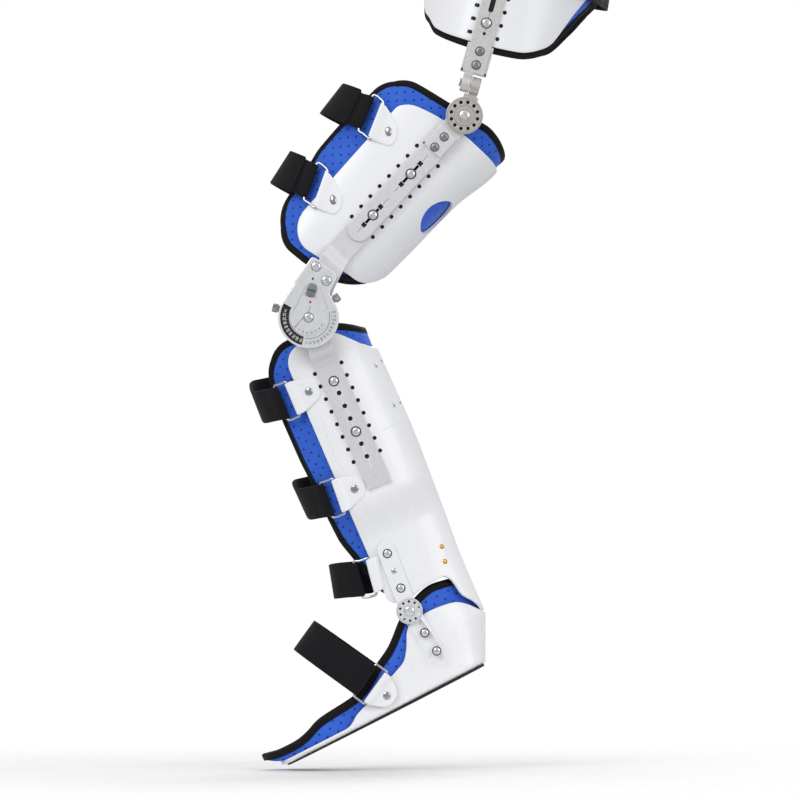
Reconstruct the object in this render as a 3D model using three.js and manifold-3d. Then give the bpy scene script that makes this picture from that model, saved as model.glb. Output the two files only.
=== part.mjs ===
// Hip knee ankle foot orthosis for a left leg, in mm, +Z up.
// X runs to the wearer's back, -Y is the outer (left) side, the origin is the middle of the pelvic girdle.
import * as THREE from "three";
import { mergeVertices } from "three/addons/utils/BufferGeometryUtils.js";
import Module from "manifold-3d";

const wasm = await Module();
wasm.setup();

// ---------------------------------------------------------------- driving dimensions
const HIP = [-54.7, -150.8]; // hip axis, X Z
const KNEE = [-241.6, -393.1]; // knee axis
const ANKLE = [-120.6, -745.8]; // ankle axis
const PELVIS_UP = [0.27, 0.963]; // along the pelvic bar
const THIGH_DOWN = [-0.677, -0.736]; // along the thigh bar
const CALF_DOWN = [0.402, -0.9157]; // along the calf bar
const FOOT_FORWARD = [-0.889, -0.4579]; // along the sole
const SHELL = 3.4; // plastic wall
const GAP = 0.4; // clearance between touching pieces
const PAD = 5.4; // padded liner wall
const LINER_IN = SHELL + 1.3; // outer face of the liner, in from the plastic
const BIND_W = 8.6; // bound edge, along the wall
const LINER_CUT = 6.5; // the liner stops short of its bound edge
const BIND_T = 6.6; // bound edge, through the wall
const ROUND = 2.4; // superellipse power of the limb sections
const BAR_W = 32; // side bars
const BAR_T = 3;
const STRAP_W = 41; // strap width; the ring is a little wider
const STRAP_T = 2.4;
const WIRE = 3.0; // ring wire
const HOLE_D = 5.0; // rows of holes beside the bars
const HOLE_PITCH = 16.5;
const HIP_DISC_R = 22.4;
const DIAL_R = 36.6;
const ANKLE_DISC_R = 16;

// ---------------------------------------------------------------- materials
const mat = (color, roughness, metalness) =>
  new THREE.MeshStandardMaterial({ color, roughness, metalness });
const WHITE = () => mat(0xf2f2f4, 0.35, 0);
const BLUE = () => mat(0x2f5fcf, 0.85, 0);
const BLACK = () => mat(0x17181b, 0.9, 0);
const STEEL = () => mat(0xc9cbcf, 0.35, 0.9);
const CHROME = () => mat(0xdfe1e4, 0.2, 1);
const GREY = () => mat(0x8d9095, 0.45, 0.6);

// ---------------------------------------------------------------- small helpers
const root = new THREE.Group();
root.name = "hkafo";

// Smooth column of a short table: cubic through the rows with limited slopes.
function col(rows, key, name, x) {
  const n = rows.length;
  if (x <= rows[0][key]) return rows[0][name];
  if (x >= rows[n - 1][key]) return rows[n - 1][name];
  let i = 0;
  while (x > rows[i + 1][key]) i++;
  const step = (j) =>
    (rows[j + 1][name] - rows[j][name]) / (rows[j + 1][key] - rows[j][key]);
  const slope = (j) => {
    if (j === 0) return step(0);
    if (j === n - 1) return step(n - 2);
    const a = step(j - 1),
      b = step(j);
    return a * b <= 0 ? 0 : (2 * a * b) / (a + b);
  };
  const h = rows[i + 1][key] - rows[i][key],
    t = (x - rows[i][key]) / h;
  const t2 = t * t,
    t3 = t2 * t;
  return (
    (2 * t3 - 3 * t2 + 1) * rows[i][name] +
    (t3 - 2 * t2 + t) * h * slope(i) +
    (3 * t2 - 2 * t3) * rows[i + 1][name] +
    (t3 - t2) * h * slope(i + 1)
  );
}
const lerp = (a, b, t) => a + (b - a) * t;
const rad = (d) => (d * Math.PI) / 180;

// A closed body from vertices and triangles, turned to face out.
function body(points, tris) {
  let vol = 0;
  for (const [a, b, c] of tris)
    vol += points[a].dot(new THREE.Vector3().crossVectors(points[b], points[c]));
  const pos = [];
  for (const [a, b, c] of tris)
    for (const k of vol < 0 ? [a, c, b] : [a, b, c])
      pos.push(points[k].x, points[k].y, points[k].z);
  const g = new THREE.BufferGeometry();
  g.setAttribute("position", new THREE.Float32BufferAttribute(pos, 3));
  return g;
}
function solid(g) {
  const c = g.clone();
  c.deleteAttribute("normal");
  c.deleteAttribute("uv");
  const m = mergeVertices(c, 1e-3);
  const idx = [];
  const a = m.index.array;
  for (let i = 0; i < a.length; i += 3)
    if (a[i] !== a[i + 1] && a[i + 1] !== a[i + 2] && a[i] !== a[i + 2])
      idx.push(a[i], a[i + 1], a[i + 2]);
  return new wasm.Manifold(
    new wasm.Mesh({
      numProp: 3,
      vertProperties: new Float32Array(m.attributes.position.array),
      triVerts: new Uint32Array(idx),
    }),
  );
}
function geometry(m) {
  const mesh = m.getMesh();
  const g = new THREE.BufferGeometry();
  const p = new Float32Array(mesh.numVert * 3);
  for (let i = 0; i < mesh.numVert; i++)
    for (let k = 0; k < 3; k++)
      p[i * 3 + k] = mesh.vertProperties[i * mesh.numProp + k];
  g.setAttribute("position", new THREE.BufferAttribute(p, 3));
  g.setIndex(new THREE.BufferAttribute(new Uint32Array(mesh.triVerts), 1));
  const flat = g.toNonIndexed();
  flat.computeVertexNormals();
  return flat;
}
function add(name, shape, material) {
  const g = shape.isBufferGeometry ? shape : geometry(shape);
  g.computeVertexNormals();
  const mesh = new THREE.Mesh(g, material);
  mesh.name = name;
  root.add(mesh);
  return mesh;
}
const union = (...list) => list.reduce((a, b) => a.add(b));
const minus = (a, ...list) => list.reduce((x, b) => x.subtract(b), a);

// Plane frames: along = first axis, across = second axis, both X Z.
function frame(o, d, n) {
  return (u, p) => [o[0] + u * d[0] + p * n[0], o[1] + u * d[1] + p * n[1]];
}
const PELVIS_BACK = [PELVIS_UP[1], -PELVIS_UP[0]];
const THIGH_BACK = [-THIGH_DOWN[1], THIGH_DOWN[0]];
const CALF_BACK = [-CALF_DOWN[1], CALF_DOWN[0]];
const FOOT_UP = [FOOT_FORWARD[1], -FOOT_FORWARD[0]];
const PV = frame(HIP, PELVIS_UP, PELVIS_BACK); // v up, p back
const TH = frame(HIP, THIGH_DOWN, THIGH_BACK); // u down, p back
const CF = frame(KNEE, CALF_DOWN, CALF_BACK); // u down, p back
const FT = frame(ANKLE, FOOT_FORWARD, FOOT_UP); // f forward, h up
const at = (xz, lat) => new THREE.Vector3(xz[0], -lat, xz[1]);

// Flat plate from an X Z outline, between two outward distances.
function plate(points, l0, l1) {
  const sh = new THREE.Shape(points.map((q) => new THREE.Vector2(q[0], q[1])));
  const g = new THREE.ExtrudeGeometry(sh, { depth: l1 - l0, bevelEnabled: false });
  g.applyMatrix4(new THREE.Matrix4().set(1, 0, 0, 0, 0, 0, -1, -l0, 0, 1, 0, 0, 0, 0, 0, 1));
  return solid(g);
}
function ring2(c, r, n) {
  const out = [];
  for (let i = 0; i < n; i++)
    out.push([c[0] + r * Math.cos((2 * Math.PI * i) / n), c[1] + r * Math.sin((2 * Math.PI * i) / n)]);
  return out;
}
const disc = (c, r, l0, l1, n = 28) => plate(ring2(c, r, n), l0, l1);
// Straight bar from a to b, each end round or square.
function barOutline(a, b, w, roundA, roundB, n = 8) {
  const dx = b[0] - a[0],
    dz = b[1] - a[1],
    len = Math.hypot(dx, dz);
  const d = [dx / len, dz / len],
    e = [-d[1], d[0]],
    r = w / 2,
    out = [];
  const push = (c, i, j) => out.push([c[0] + d[0] * i + e[0] * j, c[1] + d[1] * i + e[1] * j]);
  if (roundB) for (let i = 0; i <= n; i++) push(b, r * Math.sin((Math.PI * i) / n), -r * Math.cos((Math.PI * i) / n));
  else push(b, 0, -r), push(b, 0, r);
  if (roundA) for (let i = 0; i <= n; i++) push(a, -r * Math.sin((Math.PI * i) / n), r * Math.cos((Math.PI * i) / n));
  else push(a, 0, r), push(a, 0, -r);
  return out;
}
const bar = (a, b, w, l0, l1, ra = false, rb = false) => plate(barOutline(a, b, w, ra, rb), l0, l1);
// Sloped step between two levels of one bar.
function jog(a, b, wa, wb, la, lb, t) {
  const dx = b[0] - a[0],
    dz = b[1] - a[1],
    len = Math.hypot(dx, dz),
    e = [-dz / len, dx / len];
  const q = (c, s, l) => at([c[0] + e[0] * s, c[1] + e[1] * s], l);
  const P = [
    q(a, -wa / 2, la), q(a, wa / 2, la), q(b, wb / 2, lb), q(b, -wb / 2, lb),
    q(a, -wa / 2, la + t), q(a, wa / 2, la + t), q(b, wb / 2, lb + t), q(b, -wb / 2, lb + t),
  ];
  return solid(body(P, [
    [0, 1, 2], [0, 2, 3], [4, 6, 5], [4, 7, 6], [0, 4, 5], [0, 5, 1],
    [1, 5, 6], [1, 6, 2], [2, 6, 7], [2, 7, 3], [3, 7, 4], [3, 4, 0],
  ]));
}
// Domed screw head with its shank, along the outward direction.
function screw(c, r, lHead, h, lShank = lHead, shankR = 2, n = 12) {
  const prof = [];
  if (lShank < lHead) prof.push([0, lShank], [shankR, lShank], [shankR, lHead], [r, lHead]);
  else prof.push([0, lHead], [r, lHead]);
  prof.push([r, lHead + h * 0.35], [r * 0.82, lHead + h * 0.75], [r * 0.45, lHead + h * 0.97], [0, lHead + h]);
  const g = new THREE.LatheGeometry(prof.map((q) => new THREE.Vector2(q[0], q[1])), n);
  g.applyMatrix4(new THREE.Matrix4().set(1, 0, 0, c[0], 0, -1, 0, 0, 0, 0, 1, c[1], 0, 0, 0, 1));
  return new wasm.Manifold(
    ((m) => new wasm.Mesh({ numProp: 3, vertProperties: m.vertProperties, triVerts: m.triVerts }))(
      turned(g),
    ),
  );
}
function turned(g) {
  const c = g.clone();
  c.deleteAttribute("normal");
  c.deleteAttribute("uv");
  const m = mergeVertices(c, 1e-3);
  const p = m.attributes.position.array;
  const idx = [];
  let vol = 0;
  const v = (i) => new THREE.Vector3(p[3 * i], p[3 * i + 1], p[3 * i + 2]);
  const a = m.index.array;
  for (let i = 0; i < a.length; i += 3) {
    if (a[i] === a[i + 1] || a[i + 1] === a[i + 2] || a[i] === a[i + 2]) continue;
    idx.push(a[i], a[i + 1], a[i + 2]);
    vol += v(a[i]).dot(v(a[i + 1]).cross(v(a[i + 2])));
  }
  if (vol < 0) for (let i = 0; i < idx.length; i += 3) [idx[i + 1], idx[i + 2]] = [idx[i + 2], idx[i + 1]];
  return { vertProperties: new Float32Array(p), triVerts: new Uint32Array(idx) };
}
// Closed sweep: a list of section loops of equal length, joined end to end.
function sweepLoop(sections) {
  const n = sections.length,
    k = sections[0].length,
    P = sections.flat(),
    T = [];
  for (let i = 0; i < n; i++)
    for (let j = 0; j < k; j++) {
      const a = i * k + j,
        b = i * k + ((j + 1) % k),
        c = ((i + 1) % n) * k + ((j + 1) % k),
        d = ((i + 1) % n) * k + j;
      T.push([a, b, c], [a, c, d]);
    }
  return body(P, T);
}

// ---------------------------------------------------------------- limb sections (outer face of the plastic)
// along = distance along the segment; mid = widest line; front/back = half depths;
// centre = outward middle; outer/inner = half widths.
const THIGH_SECTIONS = [
  { along: -15, mid: -5, front: 124, back: 80, centre: 80, outer: 76, inner: 74 },
  { along: 30, mid: -5, front: 124, back: 79, centre: 80, outer: 76, inner: 75 },
  { along: 85, mid: -5, front: 122, back: 70.5, centre: 80, outer: 76, inner: 74 },
  { along: 190, mid: -5, front: 108, back: 67, centre: 80, outer: 76, inner: 68 },
  { along: 262, mid: -5, front: 94, back: 58, centre: 80, outer: 76, inner: 60 },
];
const CALF_SECTIONS = [
  { along: 10, mid: -3, front: 90, back: 66, centre: 86, outer: 64, inner: 60 },
  { along: 70, mid: -3, front: 96, back: 64, centre: 86, outer: 64, inner: 60 },
  { along: 150, mid: -3, front: 97, back: 64.5, centre: 86, outer: 64, inner: 58 },
  { along: 224, mid: -6, front: 93, back: 65, centre: 86.4, outer: 63.6, inner: 54 },
  { along: 278, mid: -17, front: 82, back: 73, centre: 88, outer: 42, inner: 46 },
  { along: 345, mid: -28, front: 60, back: 80.5, centre: 88, outer: 42, inner: 43 },
  { along: 420, mid: -31, front: 58, back: 83, centre: 88, outer: 42, inner: 42 },
];
const PELVIS_SECTIONS = [
  { along: 70, mid: 6, front: 104, back: 122, centre: 0, outer: 160, inner: 160 },
  { along: 140, mid: 6, front: 104, back: 118, centre: 0, outer: 160, inner: 160 },
  { along: 240, mid: 6, front: 100, back: 108, centre: 0, outer: 160, inner: 158 },
];
function section(rows, power, along, phi, inset) {
  const s = Math.sin(phi),
    c = Math.cos(phi),
    e = 2 / power;
  const depth = col(rows, "along", s >= 0 ? "back" : "front", along) - inset;
  const width = col(rows, "along", c >= 0 ? "outer" : "inner", along) - inset;
  return [
    col(rows, "along", "mid", along) + depth * Math.sign(s) * Math.abs(s) ** e,
    col(rows, "along", "centre", along) + width * Math.sign(c) * Math.abs(c) ** e,
  ];
}
function angleAt(rows, power, along, p) {
  const d = p - col(rows, "along", "mid", along);
  const r = d / col(rows, "along", d >= 0 ? "back" : "front", along);
  return Math.asin(Math.sign(r) * Math.min(1, Math.abs(r)) ** (power / 2));
}
// Corner round: set-back of an edge at distance x from the square corner.
const CORNER = 1 - Math.SQRT1_2;
const setback = (x, r) => (x >= r ? 0 : r - Math.sqrt(Math.max(0, r * r - (r - x) ** 2)));

// Value at t of a list of equally spaced levels.
function level(list, t) {
  const x = t * (list.length - 1),
    i = Math.min(list.length - 2, Math.floor(x));
  return lerp(list[i], list[i + 1], x - i);
}
// An open wall round a limb: s runs from the outer front edge round the back to the inner front edge, t from top to bottom.
function wall(w) {
  const rows = w.sections,
    pw = w.power ?? ROUND;
  return (s, t, inset, trim = 0) => {
    const side = Math.min(s, 1 - s);
    const lim = (name) => col(w.rim, "s", name, s);
    const rTop = s < 0.5 ? w.corner.topOuter : w.corner.topInner,
      rBot = s < 0.5 ? w.corner.botOuter : w.corner.botInner;
    const sx = side * w.girth;
    const top = lim("top") + setback(sx + CORNER * rTop, rTop) + trim;
    const bot = lim("bot") - setback(sx + CORNER * rBot, rBot) - trim;
    const along = w.stations ? level([top, ...w.stations, bot], t) : lerp(top, bot, t);
    const edge = (rt, rb) =>
      setback(along - top + CORNER * rt, rt) + setback(bot - along + CORNER * rb, rb) + trim;
    const a0 = angleAt(rows, pw, along, col(w.front, "along", "outer", along) + edge(w.corner.topOuter, w.corner.botOuter));
    const a1 = Math.PI - angleAt(rows, pw, along, col(w.front, "along", "inner", along) + edge(w.corner.topInner, w.corner.botInner));
    const phi = lerp(a0, a1, s);
    const [p, l] = section(rows, pw, along, phi, inset);
    return at(w.place(along, p), l);
  };
}
// Uneven spacing that puts more rows near both ends.
const spread = (i, n) => {
  const x = i / n;
  return x + 0.55 * (0.5 * (1 - Math.cos(Math.PI * x)) - x);
};
function wallBody(f, ns, nt, in0, in1, trim = 0, even = false) {
  const P = [],
    T = [],
    id = (k, i, j) => k * (ns + 1) * (nt + 1) + i * (nt + 1) + j;
  for (const inset of [in0, in1])
    for (let i = 0; i <= ns; i++)
      for (let j = 0; j <= nt; j++) P.push(f(spread(i, ns), even ? j / nt : spread(j, nt), inset, trim));
  const quad = (a, b, c, d) => T.push([a, b, c], [a, c, d]);
  for (let i = 0; i < ns; i++)
    for (let j = 0; j < nt; j++) {
      quad(id(0, i, j), id(0, i + 1, j), id(0, i + 1, j + 1), id(0, i, j + 1));
      quad(id(1, i, j), id(1, i, j + 1), id(1, i + 1, j + 1), id(1, i + 1, j));
    }
  for (let i = 0; i < ns; i++) {
    quad(id(0, i, 0), id(1, i, 0), id(1, i + 1, 0), id(0, i + 1, 0));
    quad(id(0, i, nt), id(0, i + 1, nt), id(1, i + 1, nt), id(1, i, nt));
  }
  for (let j = 0; j < nt; j++) {
    quad(id(0, 0, j), id(0, 0, j + 1), id(1, 0, j + 1), id(1, 0, j));
    quad(id(0, ns, j), id(1, ns, j), id(1, ns, j + 1), id(0, ns, j + 1));
  }
  return body(P, T);
}
// Points (s, t) round the rim of a wall.
function rimPath(ns, nt) {
  const out = [];
  for (let i = 0; i < ns; i++) out.push([spread(i, ns), 0]);
  for (let j = 0; j < nt; j++) out.push([1, spread(j, nt)]);
  for (let i = 0; i < ns; i++) out.push([spread(ns - i, ns), 1]);
  for (let j = 0; j < nt; j++) out.push([0, spread(nt - j, nt)]);
  return out;
}
// Bound edge: a flat strip that closes the rim of a liner wall.
function binding(f, ns, nt, mid, width, thick) {
  const path = rimPath(ns, nt),
    n = path.length;
  const B = path.map(([s, t]) => f(s, t, mid, 0));
  const C = path.map(([s, t]) => f(lerp(s, 0.5, 0.06), lerp(t, 0.5, 0.06), mid, 0));
  const O = path.map(([s, t]) => f(lerp(s, 0.5, 0.02), lerp(t, 0.5, 0.02), mid - 2, 0));
  const sec = [];
  for (let i = 0; i < n; i++) {
    const tan = B[(i + 1) % n].clone().sub(B[(i + n - 1) % n]).normalize();
    const inw = C[i].clone().sub(B[i]);
    inw.addScaledVector(tan, -inw.dot(tan)).normalize();
    const nrm = new THREE.Vector3().crossVectors(tan, inw).normalize();
    if (nrm.dot(O[i].clone().sub(B[i])) < 0) nrm.negate();
    const q = (a, b) => B[i].clone().addScaledVector(inw, a).addScaledVector(nrm, b);
    sec.push([q(0, -thick / 2), q(width, -thick / 2), q(width, thick / 2), q(0, thick / 2)]);
  }
  return sweepLoop(sec);
}

// ---------------------------------------------------------------- wall tables
// s: place round the limb; top and bot: distances along the segment.
const THIGH_SHELL = {
  sections: THIGH_SECTIONS,
  place: TH,
  girth: 360,
  corner: { topOuter: 14, topInner: 26, botOuter: 34, botInner: 34 },
  rim: [
    { s: 0, top: 36, bot: 247 },
    { s: 0.05, top: 27, bot: 247 },
    { s: 0.112, top: 19.5, bot: 243 },
    { s: 0.2, top: 16.5, bot: 236 },
    { s: 0.3, top: 16.5, bot: 233 },
    { s: 0.352, top: 17, bot: 229 },
    { s: 0.4, top: 18, bot: 222 },
    { s: 0.5, top: 22, bot: 208 },
    { s: 0.62, top: 28, bot: 214 },
    { s: 0.8, top: 38, bot: 238 },
    { s: 1, top: 52, bot: 246 },
  ],
  front: [
    { along: 20, outer: -68, inner: -60 },
    { along: 120, outer: -67, inner: -62 },
    { along: 250, outer: -65, inner: -60 },
  ],
};
const THIGH_LINER = {
  sections: THIGH_SECTIONS,
  place: TH,
  girth: 430,
  corner: { topOuter: 34, topInner: 40, botOuter: 46, botInner: 46 },
  rim: [
    { s: 0, top: 16, bot: 262 },
    { s: 0.06, top: 9, bot: 262 },
    { s: 0.12, top: 3, bot: 261 },
    { s: 0.185, top: -4, bot: 256 },
    { s: 0.28, top: -10.5, bot: 245 },
    { s: 0.33, top: -9, bot: 236 },
    { s: 0.38, top: -6, bot: 224 },
    { s: 0.5, top: 2, bot: 206 },
    { s: 0.62, top: 9, bot: 230 },
    { s: 0.8, top: 20, bot: 254 },
    { s: 1, top: 32, bot: 262 },
  ],
  front: [
    { along: 0, outer: -104, inner: -84 },
    { along: 60, outer: -107, inner: -90 },
    { along: 110, outer: -109, inner: -92 },
    { along: 145, outer: -108, inner: -92 },
    { along: 165, outer: -104.5, inner: -92 },
    { along: 218, outer: -95.5, inner: -88 },
    { along: 240, outer: -91.5, inner: -85 },
    { along: 262, outer: -86, inner: -82 },
  ],
};
const CALF_LEVELS = [60, 84, 120, 180, 222, 240, 260, 280, 312]; // rows shared by the calf walls
const CALF_SHELL = {
  sections: CALF_SECTIONS,
  stations: CALF_LEVELS.slice(1),
  place: CF,
  girth: 290,
  corner: { topOuter: 24, topInner: 24, botOuter: 10, botInner: 10 },
  rim: [
    { s: 0, top: 24, bot: 355 },
    { s: 0.07, top: 24, bot: 357 },
    { s: 0.15, top: 27, bot: 351 },
    { s: 0.24, top: 43.5, bot: 346 },
    { s: 0.285, top: 52, bot: 357 },
    { s: 0.31, top: 55, bot: 379 },
    { s: 0.37, top: 61, bot: 390 },
    { s: 0.5, top: 67, bot: 407 },
    { s: 0.63, top: 61, bot: 390 },
    { s: 0.69, top: 55, bot: 379 },
    { s: 0.715, top: 52, bot: 357 },
    { s: 0.76, top: 43.5, bot: 346 },
    { s: 0.85, top: 27, bot: 351 },
    { s: 0.93, top: 24, bot: 357 },
    { s: 1, top: 24, bot: 355 },
  ],
  front: [
    { along: 20, outer: -46, inner: -46 },
    { along: 100, outer: -48.5, inner: -48 },
    { along: 300, outer: -50, inner: -49 },
    { along: 360, outer: -51, inner: -50 },
  ],
};
const CALF_LINER = {
  sections: CALF_SECTIONS,
  stations: CALF_LEVELS,
  place: CF,
  girth: 340,
  corner: { topOuter: 40, topInner: 40, botOuter: 26, botInner: 26 },
  rim: [
    { s: 0, top: 16, bot: 350 },
    { s: 0.1, top: 14, bot: 348 },
    { s: 0.2, top: 14.5, bot: 341 },
    { s: 0.26, top: 19.5, bot: 342 },
    { s: 0.33, top: 27, bot: 350 },
    { s: 0.41, top: 34, bot: 352 },
    { s: 0.5, top: 37, bot: 353 },
    { s: 0.59, top: 34, bot: 352 },
    { s: 0.67, top: 27, bot: 350 },
    { s: 0.74, top: 19.5, bot: 342 },
    { s: 0.8, top: 14.5, bot: 341 },
    { s: 0.9, top: 14, bot: 348 },
    { s: 1, top: 16, bot: 350 },
  ],
  front: [
    { along: 10, outer: -77, inner: -72 },
    { along: 60, outer: -80.5, inner: -74 },
    { along: 100, outer: -84.5, inner: -74 },
    { along: 150, outer: -84.5, inner: -74 },
    { along: 180, outer: -83, inner: -74 },
    { along: 255, outer: -80.5, inner: -74 },
    { along: 290, outer: -72, inner: -68 },
    { along: 345, outer: -58, inner: -58 },
    { along: 370, outer: -55, inner: -55 },
  ],
};
// Rims of a half girdle: s from the front edge to the back edge, heights along the pelvic bar.
const PELVIS_RIM = [
  { s: 0, low: 110, high: 226 },
  { s: 0.06, low: 105, high: 228 },
  { s: 0.14, low: 93, high: 231 },
  { s: 0.25, low: 89, high: 234 },
  { s: 0.38, low: 88, high: 235 },
  { s: 0.52, low: 90.5, high: 235 },
  { s: 0.64, low: 104.5, high: 234 },
  { s: 0.74, low: 137.5, high: 232 },
  { s: 0.84, low: 167, high: 230 },
  { s: 1, low: 186, high: 228 },
];
// The right half stands a little further back than the left.
function rearSet(p, l) {
  const x = Math.max(0, Math.min(1, (30 - l) / 90));
  return p > 6 ? (p - 6) * 0.1 * x * x * (3 - 2 * x) : 0;
}
const PELVIS_SPAN = { front: -60, back: 82 }; // degrees round the girdle
// Half girdle wall, s from the front edge to the back edge on one side; side 1 is the wearer's left.
function girdleWall(side, rise, more) {
  return (s, t, inset, trim = 0) => {
    const r = 22,
      girth = 300,
      sx = Math.min(s, 1 - s) * girth;
    const shift = side < 0 ? 4 : 0;
    const low = col(PELVIS_RIM, "s", "low", s) + shift - rise * (1 + 0.9 * Math.max(0, 1 - Math.abs(s - 0.82) / 0.2)) + setback(sx + CORNER * r, r) + trim;
    const high = col(PELVIS_RIM, "s", "high", s) + rise - setback(sx + CORNER * r, r) - trim;
    const along = lerp(low, high, t),
      h = high - low;
    const edge = (setback(t * h + CORNER * r, r) + setback((1 - t) * h + CORNER * r, r) + trim - more) / 2.05;
    const phi = rad(lerp(PELVIS_SPAN.front + edge, PELVIS_SPAN.back - edge, s));
    const [p, l] = section(PELVIS_SECTIONS, 2.3, along, phi, inset);
    return at(PV(along, p + rearSet(p, side * l)), side * l);
  };
}

// ---------------------------------------------------------------- pelvis
const rowHoles = (place, list, l) => list.map(([u, p]) => disc(place(u, p), HOLE_D / 2, l - 9, l + 9, 6));
{
  const holes = [];
  for (const p of [-20.4, 13.2]) for (let i = 0; i < 6; i++) holes.push([99 + i * HOLE_PITCH, p]);
  add("pelvic_shell_left", minus(solid(wallBody(girdleWall(1, 0, 0), 18, 7, 0, SHELL)), ...rowHoles(PV, holes, 160)), WHITE());
  add("pelvic_shell_right", minus(solid(wallBody(girdleWall(-1, 0, 0), 18, 7, 0, SHELL))), WHITE());
  const LOW = 7,
    OUT = 4;
  for (const [side, name] of [[1, "left"], [-1, "right"]]) {
    add("pelvic_liner_" + name, wallBody(girdleWall(side, LOW, OUT), 18, 5, LINER_IN, LINER_IN + PAD, BIND_W + 1.4), BLUE());
    add("pelvic_binding_" + name, binding(girdleWall(side, LOW, OUT), 18, 6, LINER_IN + PAD / 2, BIND_W, PAD), BLACK());
  }
  // Waist belt round both halves, passing over the bar.
  const V0 = 176,
    V1 = 216,
    sec = [];
  const N = 60;
  for (let i = 0; i < N; i++) {
    const phi = (2 * Math.PI * i) / N;
    const off = (((phi + Math.PI) % (2 * Math.PI)) - Math.PI + 0.08) / 0.24;
    const lift = 1.9 + 4.2 * Math.exp(-(off ** 4));
    const q = (v, inset) => {
      const [p, l] = section(PELVIS_SECTIONS, 2.3, v, phi, -inset);
      return at(PV(v, p + rearSet(p, l)), l);
    };
    sec.push([q(V0, lift), q(V1, lift), q(V1, lift + 2.6), q(V0, lift + 2.6)]);
  }
  add("waist_belt", sweepLoop(sec), BLACK());
}
const PBAR_P = -3.6; // middle line of the pelvic bar
const PBAR_L = 160.4;
add(
  "pelvic_bar",
  minus(
    bar(PV(54, PBAR_P), PV(206, PBAR_P), 26, PBAR_L, PBAR_L + BAR_T, false, true),
    bar(PV(130, PBAR_P), PV(150, PBAR_P), 6.2, PBAR_L - 2, PBAR_L + 8, true, true),
    disc(PV(101, PBAR_P), 2, PBAR_L - 2, PBAR_L + 8, 10),
  ),
  STEEL(),
);
const KNUCKLE = { v: 37.5, l: 166.6, r: 10.4 };
// Barrel along the abduction axis, between two places across the bar.
function barrel(p0, p1, r, n = 20) {
  const P = [],
    T = [];
  for (const p of [p0, p1])
    for (let i = 0; i < n; i++) {
      const a = (2 * Math.PI * i) / n;
      P.push(at(PV(KNUCKLE.v + r * Math.cos(a), p), KNUCKLE.l + r * Math.sin(a)));
    }
  for (let i = 0; i < n; i++) {
    const j = (i + 1) % n;
    T.push([i, j, n + j], [i, n + j, n + i]);
    if (i > 0 && i < n - 1) T.push([0, i + 1, i], [n, n + i, n + i + 1]);
  }
  return solid(body(P, T));
}
{
  const L0 = PBAR_L + BAR_T + GAP;
  const block = bar(PV(50, PBAR_P), PV(87, PBAR_P), 32, L0, L0 + 3.4);
  const panel = bar(PV(51.5, PBAR_P), PV(85.5, PBAR_P), 26, L0 + 3, L0 + 5.2);
  const neck = bar(PV(37, -8.6), PV(52, -8.6), 11, L0, L0 + 4.6);
  add(
    "hip_bracket",
    minus(
      union(block, panel, neck, barrel(-14.2, -3.2, KNUCKLE.r)),
      barrel(-16, -1, 3.4),
      bar(PV(27, 4), PV(48.5, 4), 14, L0 - 9, L0 + 14),
    ),
    STEEL(),
  );
  const neck2 = bar(PV(-1, 0), PV(33, 2.6), 11, KNUCKLE.l - 3.4, KNUCKLE.l + 0.6);
  const wide = bar(PV(14, 0.6), PV(26, 2), 18, KNUCKLE.l - 3.4, KNUCKLE.l + 0.6);
  const rim = [];
  for (let i = 0; i < 12; i++) {
    const a = rad(15 + 30 * i);
    rim.push(disc([HIP[0] + 16.2 * Math.cos(a), HIP[1] + 16.2 * Math.sin(a)], 2.1, KNUCKLE.l - 6, KNUCKLE.l + 4, 6));
  }
  add(
    "hip_disc",
    minus(
      union(disc(HIP, HIP_DISC_R, KNUCKLE.l - 3.4, KNUCKLE.l + 0.6, 36), wide, neck2, barrel(-2.7, 8.6, KNUCKLE.r)),
      barrel(-4, 10, 3.4),
      disc(HIP, 4.6, KNUCKLE.l - 6, KNUCKLE.l + 4, 16),
      bar(PV(26.6, -9.9), PV(50, -9.9), 14, KNUCKLE.l - 14, KNUCKLE.l + 14),
      ...rim,
    ),
    GREY(),
  );
  add("abduction_pin", union(barrel(-14, 8.4, 2.9, 14), barrel(-16.6, -14.6, 5.2, 14), barrel(-14.7, -13.9, 2.9, 14)), CHROME());
  const LT = L0 + 5.2 + 0.35;
  add("bracket_screw_upper", screw(PV(79, PBAR_P + 0.6), 4.6, LT, 2.6), CHROME());
  add("bracket_screw_lower", screw(PV(62, PBAR_P + 0.8), 4.6, LT, 2.6), CHROME());
  add("pelvic_bar_screw", screw(PV(114, PBAR_P - 1), 5.6, PBAR_L + BAR_T + 0.35, 3), CHROME());
}
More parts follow.
